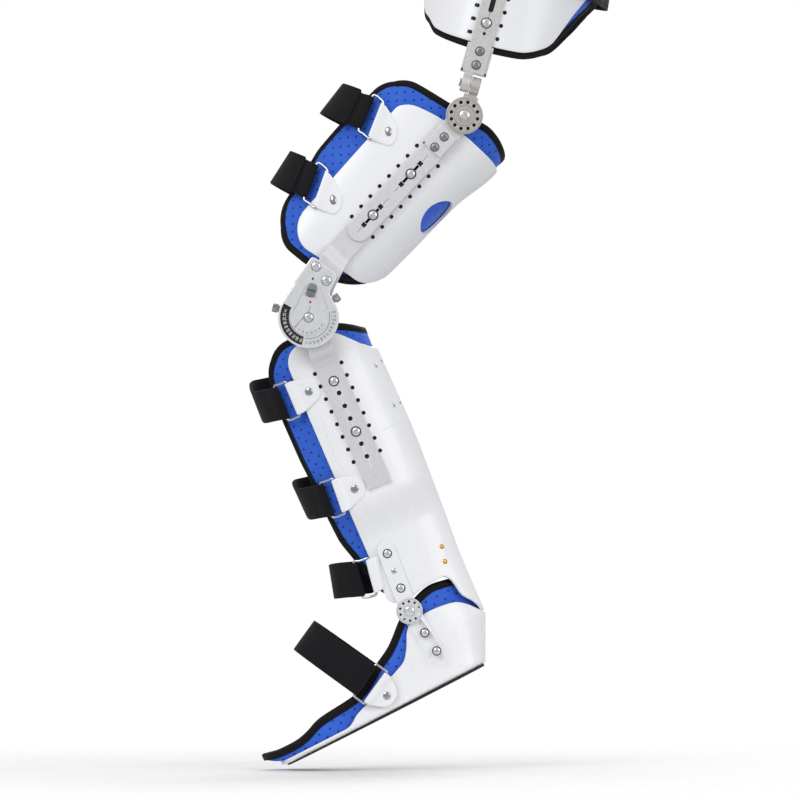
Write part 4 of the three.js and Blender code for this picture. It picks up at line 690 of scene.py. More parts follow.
def instep_map():
    """The same over the foot: an arch with its foot on the ring."""
    ex, ey = (0.89, -0.456), (0.456, 0.89)
    n = 100
    t = np.linspace(-0.35, PI + 0.3, n + 1)
    q0 = -26 + 109 * np.abs(np.sin(t)) ** 0.8 * np.sign(np.sin(t))
    q1 = 49.5 * np.abs(np.cos(t)) ** 0.8 * np.sign(np.cos(t))
    acc = np.concatenate([[0], np.cumsum(np.hypot(np.diff(q0), np.diff(q1)))])
    zero = acc[np.nonzero((t < 1.2) & (q0 <= -12))[0][-1]]
    d0, d1 = np.gradient(q0, acc), np.gradient(q1, acc)
    f0, h0 = 85 + 6.3 * ey[0], -50 + 6.3 * ey[1]

    def f(a, o, w):
        a, o, w = np.broadcast_arrays(np.asarray(a, float), np.asarray(o, float), np.asarray(w, float))
        x = a + zero
        c0, c1 = np.interp(x, acc, d0), np.interp(x, acc, d1)
        k = np.hypot(c0, c1)
        up = np.interp(x, acc, q0) - c1 / k * o
        y = np.interp(x, acc, q1) + c0 / k * o
        return at(FT(f0 + up * ey[0] + w * ex[0], h0 + up * ey[1] + w * ex[1]), 88 + y)

    f.end = float(acc[n - 6] - zero)
    return f


def smooth_path(points, step=1.6):
    """Evenly spaced points along a polyline, corners softened."""
    q = np.array(points, float)
    d = np.concatenate([[0], np.cumsum(np.hypot(*np.diff(q, axis=0).T))])
    n = max(8, int(d[-1] / step))
    x = np.linspace(0, d[-1], n + 1)
    r = np.stack([np.interp(x, d, q[:, 0]), np.interp(x, d, q[:, 1])], -1)
    for _ in range(3):
        r[1:-1] = 0.25 * r[:-2] + 0.5 * r[1:-1] + 0.25 * r[2:]
    return r


def turn(a, r, way, n=14):
    """Half turn round a wire: from under it to over it on the ring's side."""
    t = np.linspace(-PI / 2, PI / 2, n)
    return [(a - way * r * math.cos(x), 4.1 + r * math.sin(x)) for x in t]


def ribbon(name, f, path, half, thick, material, ends=(2.0, 2.0), weld=()):
    """Flat strip through (a, o) points, softened edges, rounded corners at its ends, sewn lines across at weld."""
    q = np.array(path, float)
    tan = unit(np.gradient(q, axis=0))
    nrm = np.stack([-tan[:, 1], tan[:, 0]], -1)
    run = np.concatenate([[0], np.cumsum(np.hypot(*np.diff(q, axis=0).T))])
    far = run[-1] - run
    hw = np.full(len(q), float(half)) if np.isscalar(half) else np.array(half, float)
    for dist, r in ((run, ends[0]), (far, ends[1])):
        hw -= np.where(dist < r, r - np.sqrt(np.maximum(0, r * r - (r - np.minimum(dist, r)) ** 2)), 0)
    e = thick / 2
    frac = np.linspace(-1, 1, 11)
    loops = []
    for i in range(len(q)):
        th = e
        for wl in weld:
            th -= 0.35 * math.exp(-(((run[i] - wl) / 0.9) ** 2))
        inner = hw[i] - 0.9
        top = [(x * inner, th) for x in frac]
        edge = [(hw[i] - 0.3, e * 0.72), (hw[i], 0.0), (hw[i] - 0.3, -e * 0.72)]
        bot = [(x * inner, -e) for x in frac[::-1]]
        edge2 = [(-w, b) for w, b in reversed(edge)]
        sec = np.array(top + edge + bot + edge2)
        loops.append(f(q[i, 0] + nrm[i, 0] * sec[:, 1], q[i, 1] + nrm[i, 1] * sec[:, 1], sec[:, 0]))
    return sweep(name, loops, material, False, 55)


def wire_ring(name, f, half):
    """Rectangular ring bent from round wire."""
    a, w, c = 8.5, half, 2.6
    pts = []
    for cx, cy, t0 in ((a - c, w - c, 0.0), (-a + c, w - c, PI / 2), (-a + c, -w + c, PI), (a - c, -w + c, 1.5 * PI)):
        for x in np.linspace(t0, t0 + PI / 2, 7):
            pts.append((cx + c * math.cos(x), cy + c * math.sin(x)))
    full = []
    for i, q in enumerate(pts):
        nx = pts[(i + 1) % len(pts)]
        d = math.hypot(nx[0] - q[0], nx[1] - q[1])
        k = max(1, int(d / 3))
        full += [(q[0] + (nx[0] - q[0]) * j / k, q[1] + (nx[1] - q[1]) * j / k) for j in range(k)]
    q = np.array(full)
    B = f(q[:, 0], 4.1, q[:, 1])
    up = unit(f(q[:, 0], 9.1, q[:, 1]) - B)
    tan = unit(np.roll(B, -1, 0) - np.roll(B, 1, 0))
    side = unit(np.cross(up, tan))
    up = np.cross(tan, side)
    t = np.linspace(0, 2 * PI, 14, endpoint=False)
    loops = B[:, None] + 1.5 * (np.cos(t)[None, :, None] * side[:, None] + np.sin(t)[None, :, None] * up[:, None])
    return sweep(name, loops, CHROME, True)


def dome_at(name, f, a, o, w, r, h, material, sink=0.5, n=28):
    """Low rivet head on a mapped surface, with a small rim step."""
    t = np.linspace(0, 2 * PI, n, endpoint=False)
    prof = [(r * 0.98, -sink), (r, -0.05), (r, h * 0.25), (r * 0.93, h * 0.45), (r * 0.75, h * 0.76), (r * 0.5, h * 0.93), (r * 0.25, h), (0.03, h)]
    loops = [f(a + q * np.cos(t), np.full(n, o + b), w + q * np.sin(t)) for q, b in prof]
    return sweep(name, loops, material, False, 50)


def strap_set(seg, n, f, tab_len, width=41.0, step=False, body=None):
    body = body or seg
    a = 8.5
    hw = width / 2 - 0.3
    name = "%s_%%s_%s" % (seg, n)
    if step:
        loop = [(a + 50, 1.35), (a + 14, 1.35), (a + 4, 1.5)] + turn(a, 2.55, 1) + [(a + 5, 6.0), (a + 12, 3.4), (a + 36, 3.1)]
        low = ribbon("s_loop", f, smooth_path(loop), hw - 0.8, 1.6, WEB)
        top = [(a + 15, 5.3), (a + 50, 4.9), (a + 74, 2.0), (f.end, 1.75)]
        high = ribbon("s_top", f, smooth_path(top), hw + 2.2, 2.1, WEB, (2.5, 3.0), (3.2, 5.6))
        strap = join("look_" + name % "strap", [low, high])
        shade(strap, 55)
    else:
        path = [(a + 44, 1.5), (a + 14, 1.5), (a + 4, 1.5)] + turn(a, 2.75, 1) + [(a + 5, 6.3), (a + 14, 4.3), (a + 40, 3.9), (a + 62, 1.9), (f.end, 1.75)]
        strap = ribbon("look_" + name % "strap", f, smooth_path(path), hw, 2.1, WEB, (2.0, 3.0))
    put(strap, body, name % "strap")
    put(wire_ring("look_" + name % "ring", f, width / 2 + 1.9), body, name % "ring")
    b = -a
    path = smooth_path([(b - tab_len, 0.7), (b - tab_len * 0.6, 0.85), (b - 9, 1.8), (b - 5, 4.6)] + list(reversed(turn(b, 2.6, -1))) + [(b - 5, 1.45)], 0.9)
    half = np.interp(path[:, 0], [b - tab_len, b - 5], [11.0 if tab_len > 20 else hw - 1, hw])
    tab = ribbon("t_flat", f, path, half, 1.2, WHITE, (8.0 if tab_len > 20 else 2.0, 0.5))
    parts = [tab]
    if tab_len > 20:
        parts.append(dome_at("t_rivet", f, b - tab_len * 0.6, 1.4, 0.0, 4.9, 1.7, RIVET))
    tab = join("look_" + name % "tab", parts)
    shade(tab, 50)
    put(tab, body, name % "tab")


MAPS = {
    ("thigh", "upper"): strap_map(THIGH, TH, 75.5, -82, 0.36, 4),
    ("thigh", "lower"): strap_map(THIGH, TH, 181, -75, 0.34, 7),
    ("calf", "upper"): strap_map(CALF, CF, 81.5, -64, -0.2, -1, 0.0, 14),
    ("calf", "middle"): strap_map(CALF, CF, 210.5, -60, -0.2, -3, -0.05, 12),
    ("calf", "lower"): strap_map(CALF, CF, 315, -62, -0.42, 4, -0.15, 0, 0.45),
}
for (seg, n), f in MAPS.items():
    strap_set(seg, n, f, 30 if seg == "thigh" else 10.5 if n == "lower" else 32, step=seg == "thigh")
strap_set("foot", "instep", instep_map(), 26, 43.5)


# ------------------------------------------------------------------ foot
PLAN = Table((0, 216, 32, 0), (0.12, 186, 44, 0), (0.32, 128, 48, 0), (0.5, 74, 45.5, 0), (0.62, 36, 41, 2), (0.72, 4, 39, 5), (0.8, -21, 37, 4), (0.88, -40, 30.5, 3), (0.95, -50, 17, 1), (1, -53, 0, 0))
SOLE_H = -97.5
SHELL_TOP = Table((0, -91.5), (0.3, -91.5), (0.325, -90), (0.37, -82), (0.43, -75.5), (0.54, -62), (0.585, -57), (0.625, -51), (0.66, -37), (0.69, -20), (0.73, -11), (0.79, -11), (0.885, -15), (1, -44))
PAD_TOP = Table((0, -73), (0.06, -77.5), (0.12, -78), (0.17, -75), (0.23, -67), (0.4, -61), (0.535, -39), (0.595, -29), (0.65, -14), (0.69, -3), (0.74, 6), (0.79, 13), (0.84, 16), (0.9, 13.5), (1, 9))


def foot_point(k, h, inset, toe=0.0):
    """Half breadth and forward place of the foot wall, k from the toe to the heel."""
    k, h, inset = np.broadcast_arrays(np.asarray(k, float), np.asarray(h, float), np.asarray(inset, float))
    up = np.maximum(0, h - SOLE_H)
    x = np.maximum(0, (k - 0.7) / 0.3)
    e = 0.004
    lo, hi = np.maximum(0, k - e), np.minimum(1, k + e)
    df, dw = PLAN(1, hi) - PLAN(1, lo), PLAN(2, hi) - PLAN(2, lo)
    ln = np.maximum(1e-6, np.hypot(df, dw))
    nf = np.where(df > 0, dw / ln, -dw / ln)
    nf = nf * np.clip((k - 0.05) / 0.14, 0, 1)
    c = np.clip((k - 0.975) / 0.025, 0, 1)
    nf = nf * (1 - c) + c
    nw = -np.sqrt(np.maximum(0, 1 - nf * nf))
    f = PLAN(1, k) + nf * inset + toe * np.maximum(0, 1 - k / 0.3)
    w = PLAN(2, k) + nw * inset - 0.5 * toe * np.maximum(0, 1 - k / 0.2)
    f = f - 0.52 * np.minimum(up, 55.5) * x * x
    w = w + PLAN(3, k) * np.minimum(1, up / 60)
    rnd = np.maximum(0, 7 - up)
    w = np.maximum(0, w - (7 - np.sqrt(np.maximum(0, 49 - rnd * rnd))) * 0.8)
    q = np.clip(1 - k / 0.05, 0, 1)
    return f, w * np.maximum(0.03, np.sqrt(1 - q * q))


def foot_wall(name, top, bottom, floor, in0, in1, trim, toe, spring, material, with_mm=False):
    """Shoe-like wall: one closed section loop at each k, swept from the toe to the heel."""
    ks = np.concatenate([0.06 * np.linspace(0, 1, 19)[:-1] ** 2, 0.06 + 0.94 * (1 - (1 - np.linspace(0, 1, 121)) ** 1.5)])
    loops, mm = [], []
    down = np.concatenate([np.linspace(0, 1, 26), 1 + np.array([0.25, 0.45, 0.62, 0.77, 0.89, 0.97, 1.0])])
    r = (in1 - in0) / 2
    for k in ks:
        edge = float(top(1, k)) - trim
        up = spring * max(0.0, 1 - k / 0.09) ** 1.8

        def skin(inset, bot, drop):
            t0 = edge - drop
            hb = min(bot + 8, t0 - 1)
            h = np.where(down <= 1, t0 + (hb - t0) * down, hb + (bot - hb) * (down - 1))
            f, w = foot_point(k, h, inset, toe)
            return np.stack([f, h, w], -1)

        out, inn = skin(in0, min(bottom + up, edge - 3.2), min(1.1, r)), skin(in1, min(floor + up, edge - 1.8), min(1.1, r))
        rim = []
        for a, b in ((0.3, 0.35), (0.62, 0.0), (1.38, 0.0), (1.7, 0.35)):
            f, w = foot_point(k, edge - b * r * 0.6, in0 + a * r, toe)
            rim.append((float(f), edge - b * r * 0.6, float(w)))
        rim = np.array(rim)

        def across(row, sign):
            x = np.linspace(1, -1, 13)[1:-1] * sign
            return np.stack([np.full(11, row[0]), np.full(11, row[1]), row[2] * x], -1)

        flip = np.array([1, 1, -1.0])
        loop = np.concatenate([out, across(out[-1], 1), (out * flip)[::-1], rim * flip, inn * flip, across(inn[-1], -1), inn[::-1], rim[::-1]])
        loops.append(at(FT(loop[:, 0], loop[:, 1]), 88 + loop[:, 2]))
        mm.append(loop[:, :2])
    L = np.array(loops)
    n, m = L.shape[:2]
    faces = [(i * m + j, i * m + (j + 1) % m, (i + 1) * m + (j + 1) % m, (i + 1) * m + j) for i in range(n - 1) for j in range(m)]
    q, p, z = len(down), 4, 11
    other = lambda j: (2 * q + z + p) * 2 - p - 1 - j
    a = 2 * q + z
    for j in range(a - 1):
        faces.append((j, j + 1, other(j + 1), other(j)))
    faces.append(tuple(range(a - 1, a + p + 1)))
    faces.append(tuple([0] + list(range(other(0), 2 * a + 2 * p))))
    return make(name, L.reshape(-1, 3), faces, material, np.concatenate(mm) if with_mm else None, 40)


ob = foot_wall("look_foot_shell", SHELL_TOP, SOLE_H, SOLE_H + SHELL, 0, SHELL, 0, 6.0, 2.6, WHITE)
put(ob, "foot", "foot_shell")
ob = foot_wall("look_foot_liner", PAD_TOP, SOLE_H + LINER_IN, SOLE_H + LINER_IN + PAD, LINER_IN + 0.8, LINER_IN + PAD, BIND_W - 3, 20.0, 11.0, BLUE, True)
put(ob, "foot", "foot_liner")


def foot_tape():
    s = spread(220, 0.2)
    k = 1 - np.abs(1 - 2 * s)
    sign = np.where(s < 0.5, 1.0, -1.0)
    top = PAD_TOP(1, k)
    mid = LINER_IN + PAD / 2

    def q(h, inset):
        f, w = foot_point(k, h, inset, 20.0)
        return at(FT(f, h), 88 + sign * w)

    B = q(top, mid)
    for _ in range(4):
        B[1:-1] = 0.25 * B[:-2] + 0.5 * B[1:-1] + 0.25 * B[2:]
    return tape("look_foot_binding", B, q(top - 8, mid), q(top - 1, mid - 3), 3.0, False)


put(foot_tape(), "foot", "foot_binding")


def sole():
    s = spread(160, 0.2)
    k = 1 - np.abs(1 - 2 * s)
    sign = np.where(s < 0.5, 1.0, -1.0)
    loops = []
    thin = 0.5 + 0.5 * np.clip(k / 0.6, 0, 1)
    for h, inset in ((-0.3, 1.5), (-0.6, 1.0), (-2.6, 1.0), (-3.0, 1.6)):
        f, w = foot_point(k, SOLE_H + 7, inset)
        loops.append(at(FT(np.maximum(f, -50), SOLE_H + h * thin), 88 + sign * w))
    return sweep("look_foot_sole", loops, RUBBER, False, 40)


put(sole(), "foot", "foot_sole")


# ------------------------------------------------------------------ metal: plates, turned pieces, screws
def circle(c, r, n=48, t0=0.0):
    t = np.linspace(t0, t0 + 2 * PI, n, endpoint=False)
    return [(c[0] + r * math.cos(x), c[1] + r * math.sin(x)) for x in t]


def bar_line(a, b, w, round_a=False, round_b=False, n=20, corner=0.0):
    d = unit(np.array([b[0] - a[0], b[1] - a[1]]))
    e = np.array([-d[1], d[0]])
    r = w / 2
    a, b = np.array(a), np.array(b)
    out = []
    if round_b:
        out += [b + r * (d * math.sin(x) - e * math.cos(x)) for x in np.linspace(0, PI, n)]
    else:
        out += [b - e * r, b + e * r]
    if round_a:
        out += [a + r * (-d * math.sin(x) + e * math.cos(x)) for x in np.linspace(0, PI, n)]
    else:
        out += [a + e * r, a - e * r]
    pts = [tuple(q) for q in out]
    return soft(pts, corner) if corner else pts


def soft(pts, radius, n=6):
    """Polygon with rounded corners; radius is one number or one for each corner."""
    q = [np.array(p, float) for p in pts]
    m = len(q)
    rad = [radius] * m if np.isscalar(radius) else list(radius)
    out = []
    for i in range(m):
        p, a, b = q[i], unit(q[i - 1] - q[i]), unit(q[(i + 1) % m] - q[i])
        ang = math.acos(max(-1, min(1, float(a @ b))))
        if rad[i] <= 0 or ang > PI - 0.06:
            out.append(tuple(p))
            continue
        t = rad[i] / math.tan(ang / 2)
        t = min(t, 0.48 * np.linalg.norm(q[i - 1] - p), 0.48 * np.linalg.norm(q[(i + 1) % m] - p))
        s, e = p + a * t, p + b * t
        for x in np.linspace(0, 1, n + 1):
            out.append(tuple((1 - x) ** 2 * s + 2 * x * (1 - x) * p + x * x * e))
    return out


def flat(name, loops, l0, l1, material, bevel=0.45, angle=28, shrink=0.0):
    """Plate with softened edges from X Z outlines, the first the outside and the rest holes."""
    cu = bpy.data.curves.new(name, "CURVE")
    cu.dimensions, cu.fill_mode = "2D", "BOTH"
    bevel = min(bevel, (l1 - l0) / 2 - 0.01)
    cu.extrude, cu.bevel_depth, cu.bevel_resolution, cu.offset = (l1 - l0) / 2 - bevel, bevel, 2, -bevel - shrink
    for lp in loops:
        sp = cu.splines.new("POLY")
        sp.points.add(len(lp) - 1)
        sp.points.foreach_set("co", [v for x, z in lp for v in (x, z, 0.0, 1.0)])
        sp.use_cyclic_u = True
    tmp = bpy.data.objects.new(name, cu)
    bpy.context.scene.collection.objects.link(tmp)
    me = bpy.data.meshes.new_from_object(tmp.evaluated_get(bpy.context.evaluated_depsgraph_get()))
    bpy.data.objects.remove(tmp)
    bpy.data.curves.remove(cu)
    n = len(me.vertices)
    co = np.zeros(n * 3)
    me.vertices.foreach_get("co", co)
    co = co.reshape(-1, 3)
    faces = [tuple(p.vertices) for p in me.polygons]
    bpy.data.meshes.remove(me)
    ob = make(name, np.stack([co[:, 0], -((l0 + l1) / 2 + co[:, 2]), co[:, 1]], -1), faces, material, None, angle)
    return crisp(ob)


def crisp(ob):
    """Keeps the flat faces of a plate flat in its shading."""
    bm = bmesh.new()
    bm.from_mesh(ob.data)
    for e in bm.edges:
        if len({abs(fc.normal.y) > 0.9999 for fc in e.link_faces}) > 1:
            e.smooth = False
    bm.to_mesh(ob.data)
    bm.free()
    return ob


def stepped(ob, o, d, stations, rise):
    """Bends a flat plate out of its plane: cut along lines across it, then moved outward by rise(u)."""
    bm = bmesh.new()
    bm.from_mesh(ob.data)
    base = Vector((o[0] * 0.001, 0, o[1] * 0.001))
    way = Vector((d[0], 0, d[1]))
    for u in stations:
        bmesh.ops.bisect_plane(bm, geom=bm.verts[:] + bm.edges[:] + bm.faces[:], plane_co=base + way * (u * 0.001), plane_no=way, dist=1e-7)
    for v in bm.verts:
        v.co.y -= 0.001 * rise((v.co - base).dot(way) * 1000)
    bm.to_mesh(ob.data)
    bm.free()
    return ob


def ease(x):
    x = max(0.0, min(1.0, x))
    return x * x * (3 - 2 * x)


def screw(name, c, r, l0, h, turned_by=0.4, material=None, shank=None):
    """Domed head with a cross recess."""
    rho = np.concatenate([np.linspace(0.02, 0.66, 17), [0.74, 0.82, 0.9, 0.955, 0.985, 1.0]])[::-1]
    t = np.linspace(0, 2 * PI, 56, endpoint=False)
    loops = []
    if shank:
        loops += [at((c[0] + shank[0] * np.cos(t), c[1] + shank[0] * np.sin(t)), np.full(56, l)) for l in (shank[1], l0)]
    loops.append(at((c[0] + r * np.cos(t), c[1] + r * np.sin(t)), np.full(56, l0)))
    for q in rho:
        dome = h * (0.28 + 0.72 * math.sqrt(max(0.0, 1 - (0.97 * q) ** 2)))
        x, y = q * np.cos(t - turned_by), q * np.sin(t - turned_by)

        def arm(a, b):
            return np.clip((0.17 - np.abs(a)) / 0.07, 0, 1) * np.clip((0.6 - np.abs(b)) / 0.1, 0, 1)

        deep = np.maximum(arm(x, y), arm(y, x)) * 0.5 * h
        loops.append(at((c[0] + q * r * np.cos(t), c[1] + q * r * np.sin(t)), l0 + dome - deep))
    return sweep(name, loops, material or SCREW, False, 42)


def ring(name, c, r0, r1, l0, l1, material, n=48):
    """Flat turned ring with a softened edge."""
    b = min(0.25, (l1 - l0) / 2)
    t = np.linspace(0, 2 * PI, n, endpoint=False)
    prof = [(r0, l0), (r1, l0), (r1, l1 - b), (r1 - b, l1), (r0 + b, l1), (r0, l1 - b)]
    loops = np.stack([at((c[0] + r * np.cos(t), c[1] + r * np.sin(t)), np.full(n, l)) for r, l in prof], 1)
    return sweep(name, loops, material, True, 35)


def barrel(name, p0, p1, r, material, hole=0.0, v=37.5, l=166.6, c=0.6, n=48):
    """Turned piece along the abduction axis."""
    t = np.linspace(0, 2 * PI, n, endpoint=False)
    prof = [(hole or 0.02, p0), (r - c, p0), (r, p0 + c), (r, p1 - c), (r - c, p1), (hole or 0.02, p1)]
    loops = [at(PV(v + q * np.cos(t), np.full(n, p)), l + q * np.sin(t)) for q, p in prof]
    return sweep(name, np.stack(loops, 1) if hole else loops, material, bool(hole), 35)


def piece(name, parts, body, node, angle=None):
    ob = join("look_" + name, parts) if len(parts) > 1 else parts[0]
    if len(parts) == 1:
        ob.name = ob.data.name = "look_" + name
    if angle:
        shade(ob, angle)
    return put(ob, body, node)


# pelvic bar and hip bracket
P = -3.6
slot_p = bar_line(PV(130, P), PV(150, P), 6.2, True, True)
parts = [
    flat("a", [bar_line(PV(54, P), PV(206, P), 26, False, True, 28), slot_p, circle(PV(101, P), 2.0, 24)], 160.4, 163.4, HIPBAR, 0.5),
    # b, c: painted shade, near-black fills under the slot and the hole
    flat("b", [bar_line(PV(131, P), PV(149, P), 5.6, True, True)], 160.5, 161.1, HOLE_SHADE_BLACK, 0.1),
    flat("c", [circle(PV(101, P), 1.9, 20)], 160.5, 161.2, HOLE_SHADE_BLACK, 0.1),
    flat("d", [bar_line(PV(104, P), PV(127, P), 0.5)], 163.38, 163.46, DARKSTEEL, 0.02),
]
piece("pelvic_bar", parts, "pelvis", "pelvic_bar")
parts = [
    flat("a", [bar_line(PV(50.3, P), PV(87, P), 32, corner=1.6)], 163.8, 167.2, HIPBAR, 0.6),
    flat("b", [bar_line(PV(51.8, P), PV(85.5, P), 26, corner=2.2)], 166.9, 169.0, HIPBAR, 0.55),
    flat("n", [bar_line(PV(37, -8.6), PV(52, -8.6), 11)], 163.8, 168.4, HIPBAR, 0.5),
    barrel("k", -14.2, -3.2, 10.4, HIPBAR, 3.2),
]
for v, p in ((79, P + 0.6), (62, P + 0.8)):
    parts.append(ring("r%d" % v, PV(v, p), 4.75, 5.9, 168.9, 169.2, DARKSTEEL))
# k: painted shade, short near-black marks where the upper block meets the bracket
for p in (P - 14.4, P + 14.4):
    parts.append(flat("k%d" % p, [bar_line(PV(51.4, p), PV(54.6, p), 2.2)], 167.15, 167.3, HOLE_SHADE_BLACK, 0.03))
piece("hip_bracket", parts, "pelvis", "hip_bracket")
piece("bracket_screw_upper", [screw("a", PV(79, P + 0.6), 4.5, 169.35, 2.0, 0.5, GREY)], "pelvis", "bracket_screw_upper")
piece("bracket_screw_lower", [screw("a", PV(62, P + 0.8), 4.5, 169.35, 2.0, 0.9, GREY)], "pelvis", "bracket_screw_lower")
piece("pelvic_bar_screw", [screw("a", PV(114, P - 1), 5.4, 163.75, 2.8, 0.7), ring("b", PV(114, P - 1), 5.5, 6.7, 163.42, 163.75, DARKSTEEL)], "pelvis", "pelvic_bar_screw")
piece("abduction_pin", [barrel("a", -16.6, -14.5, 5.2, CHROME, c=0.7), barrel("b", -14.6, 8.3, 2.9, CHROME)], "pelvis", "abduction_pin")

# hip disc
rim = [circle((HIP[0] + 16.2 * math.cos(math.radians(15 + 30 * i)), HIP[1] + 16.2 * math.sin(math.radians(15 + 30 * i))), 2.1, 24) for i in range(12)]
parts = [
    flat("a", [circle(HIP, 22.4, 96), circle(HIP, 4.6, 40)] + rim, 163.2, 167.2, WARM, 0.6),
    # b: painted shade, a near-black ring behind the rim holes
    ring("b", HIP, 10.6, 20.6, 163.15, 163.6, HOLE_SHADE_BLACK),
    flat("c", [bar_line(PV(19, 1.2), PV(25.2, 1.9), 18)], 163.25, 167.1, WARM, 0.6),
    flat("d", [bar_line(PV(20, 2.4), PV(33, 3.1), 10.6)], 163.3, 167.15, WARM, 0.5),
    barrel("e", -2.7, 8.6, 10.4, WARM, 3.2),
    ring("f", HIP, 6.75, 8.9, 167.1, 167.9, WARM),
    ring("g", HIP, 11.9, 12.5, 167.1, 167.35, GREY),
    ring("h", HIP, 20.2, 20.7, 167.1, 167.3, GREY),
]
piece("hip_disc", parts, "hip_link", "hip_disc")
piece("hip_pivot_screw", [screw("a", HIP, 6.4, 167.55, 2.9, 0.3, shank=(4.2, 160.1))], "hip_link", "hip_pivot_screw")

# thigh bars
arc = [(19 * math.cos(x), 19 * math.sin(x)) for x in np.linspace(math.atan2(14, 12.85), 2 * PI - math.atan2(14, 12.85), 40)]
end = [(186 + 14 * math.sin(x), -14 * math.cos(x)) for x in np.linspace(0, PI, 24)]
outline = [TH(u, p) for u, p in arc + [(u, p) for u, p in end]]
slots = [bar_line(TH(u - 2.7, 0), TH(u + 2.7, 0), 5.4) for u in (78.3, 112.0, 148.7, 178.0)]
slots += [bar_line(TH(u0, 0), TH(u1, 0), 2.2) for u0, u1 in ((81.3, 109.0), (151.7, 175.0))]
parts = [
    flat("a", [outline] + slots + [circle(HIP, 4.6, 30)], 159.8, 162.8, SATIN, 0.5),
    flat("b", [bar_line(TH(26, 0), TH(58, 0), 30, corner=1.2)], 159.9, 163.4, SATIN, 0.5),
    flat("c", [bar_line(TH(26.5, 0), TH(57.5, 0), 26, corner=2.4)], 163.2, 166.0, SATIN, 0.6),
]
for u0, u1 in ((78.3, 112.0), (148.7, 178.0)):
    # s: painted shade, near-black at the slot ends
    for u in (u0, u1):
        parts.append(flat("s%d" % u, [bar_line(TH(u - 2.6, 0), TH(u + 2.6, 0), 5.2)], 159.5, 160.2, HOLE_SHADE_BLACK, 0.1))
    parts.append(flat("t%d" % u0, [bar_line(TH(u0 + 3, 0), TH(u1 - 3, 0), 2.4)], 159.5, 161.9, GREY, 0.1))
    parts.append(flat("l%d" % u0, [bar_line(TH(u0 - 14, 0), TH(u0 - 4, 0), 0.5)], 162.78, 162.86, DARKSTEEL, 0.02))
    parts.append(flat("m%d" % u0, [bar_line(TH(u1 + 4, 0), TH(u1 + 12, 0), 0.5)], 162.78, 162.86, DARKSTEEL, 0.02))
for i, (u, p) in enumerate(((35.4, -0.5), (52.0, -0.5))):
    parts.append(screw("h%d" % i, TH(u, p), 4.2, 165.9, 1.8, 0.2 + i, GREY))
    parts.append(ring("i%d" % i, TH(u, p), 4.5, 5.6, 165.9, 166.25, DARKSTEEL))
# k: painted shade, a short near-black mark where the upper block meets the plate
parts.append(flat("k", [bar_line(TH(55.2, -13.9), TH(58, -13.9), 2.0)], 163.36, 163.46, HOLE_SHADE_BLACK, 0.03))
piece("thigh_bar_upper", parts, "thigh", "thigh_bar_upper")
for nm, u, tw in (("upper", 95, 0.5), ("lower", 162, 1.0)):
    piece("thigh_screw_" + nm, [screw("a", TH(u, 0), 5.0, 163.15, 3.0, tw), ring("b", TH(u, 0), 5.05, 6.6, 162.85, 163.45, DARKSTEEL)], "thigh", "thigh_screw_" + nm)

line = [(74, 0, 15.5), (222, 0, 15.5), (238, 3, 16), (262, 10, 16), (304.6, 26.6, 16)]
left, right = [], []
for i, (u, p, w) in enumerate(line[:-1]):
    d0 = unit(np.array(line[i][:2]) - np.array(line[i - 1][:2])) if i else np.array([1.0, 0])
    d1 = unit(np.array(line[i + 1][:2]) - np.array(line[i][:2]))
    d = unit(d0 + d1)
    n_ = np.array([-d[1], d[0]]) * w / max(0.5, float(d @ d1))
    left.append((u + n_[0], p + n_[1]))
    right.append((u - n_[0], p - n_[1]))
ax = unit(np.array([304.6 - 262, 26.6 - 10.0]))
t0 = math.atan2(ax[1], ax[0])
half = PI - math.asin(16 / 35.6)
arc = [(304.6 + 35.6 * math.cos(t0 + x), 26.6 + 35.6 * math.sin(t0 + x)) for x in np.linspace(half, -half, 72)]
cap = [(74 - 15.5 * math.sin(x), -15.5 * math.cos(x)) for x in np.linspace(0, PI, 24)]
outline = [TH(u, p) for u, p in left[1:] + arc + right[1:][::-1] + cap]
ob = flat("a", [outline, circle(KNEE, 5, 32)], 156.4, 159.4, SATIN, 0.5)
stepped(ob, HIP, (-0.677, -0.736), [221 + i * 1.5 for i in range(13)], lambda u: 6.8 * ease((u - 221.5) / 17.0))
piece("thigh_bar_lower", [ob], "thigh", "thigh_bar_lower")

# calf bar
hw = 15
t1 = math.asin(15 / 34.6)
arc = [(34.6 * math.cos(x), 34.6 * math.sin(x)) for x in np.linspace(t1, 2 * PI - t1, 72)]
outline = [CF(u, p) for u, p in arc + [(43, -18), (46, -18), (218.5, -18), (218.5, 12), (46, 12)]]
spots = [circle(CF(u, -3), 2.8, 24) for u in (97.5, 114.5, 131, 164, 180.5)]
ob = flat("a", [outline, circle(KNEE, 5, 32)] + spots, 150.4, 153.4, SATIN, 0.5)
stepped(ob, KNEE, (0.402, -0.9157), [42 + i * 1.5 for i in range(13)], lambda u: 16.2 * ease((60.0 - u) / 18.0))
parts = [ob]
# b: painted shade, near-black discs under the bar holes
for i, u in enumerate((97.5, 114.5, 131, 164, 180.5)):
    parts.append(flat("b%d" % i, [circle(CF(u, -3), 3.2, 20)], 150.15, 150.6, HOLE_SHADE_BLACK, 0.05))
for i, (u0, u1) in enumerate(((90, 94.6), (100.4, 111.6), (117.4, 128.2), (133.9, 140), (156, 161.2), (166.8, 177.7), (183.4, 196))):
    parts.append(flat("g%d" % i, [bar_line(CF(u0, -3), CF(u1, -3), 0.6)], 153.38, 153.46, DIAL_WHITE, 0.02))
piece("calf_bar", parts, "calf", "calf_bar")
for nm, u, tw in (("upper", 81.9, 0.2), ("lower", 148, 0.8)):
    piece("calf_screw_" + nm, [screw("a", CF(u, -3), 4.9, 153.75, 3.0, tw), ring("b", CF(u, -3), 4.95, 6.4, 153.45, 154.05, DARKSTEEL)], "calf", "calf_screw_" + nm)


# ------------------------------------------------------------------ knee
def k(x, z):
    return (KNEE[0] + x, KNEE[1] + z)


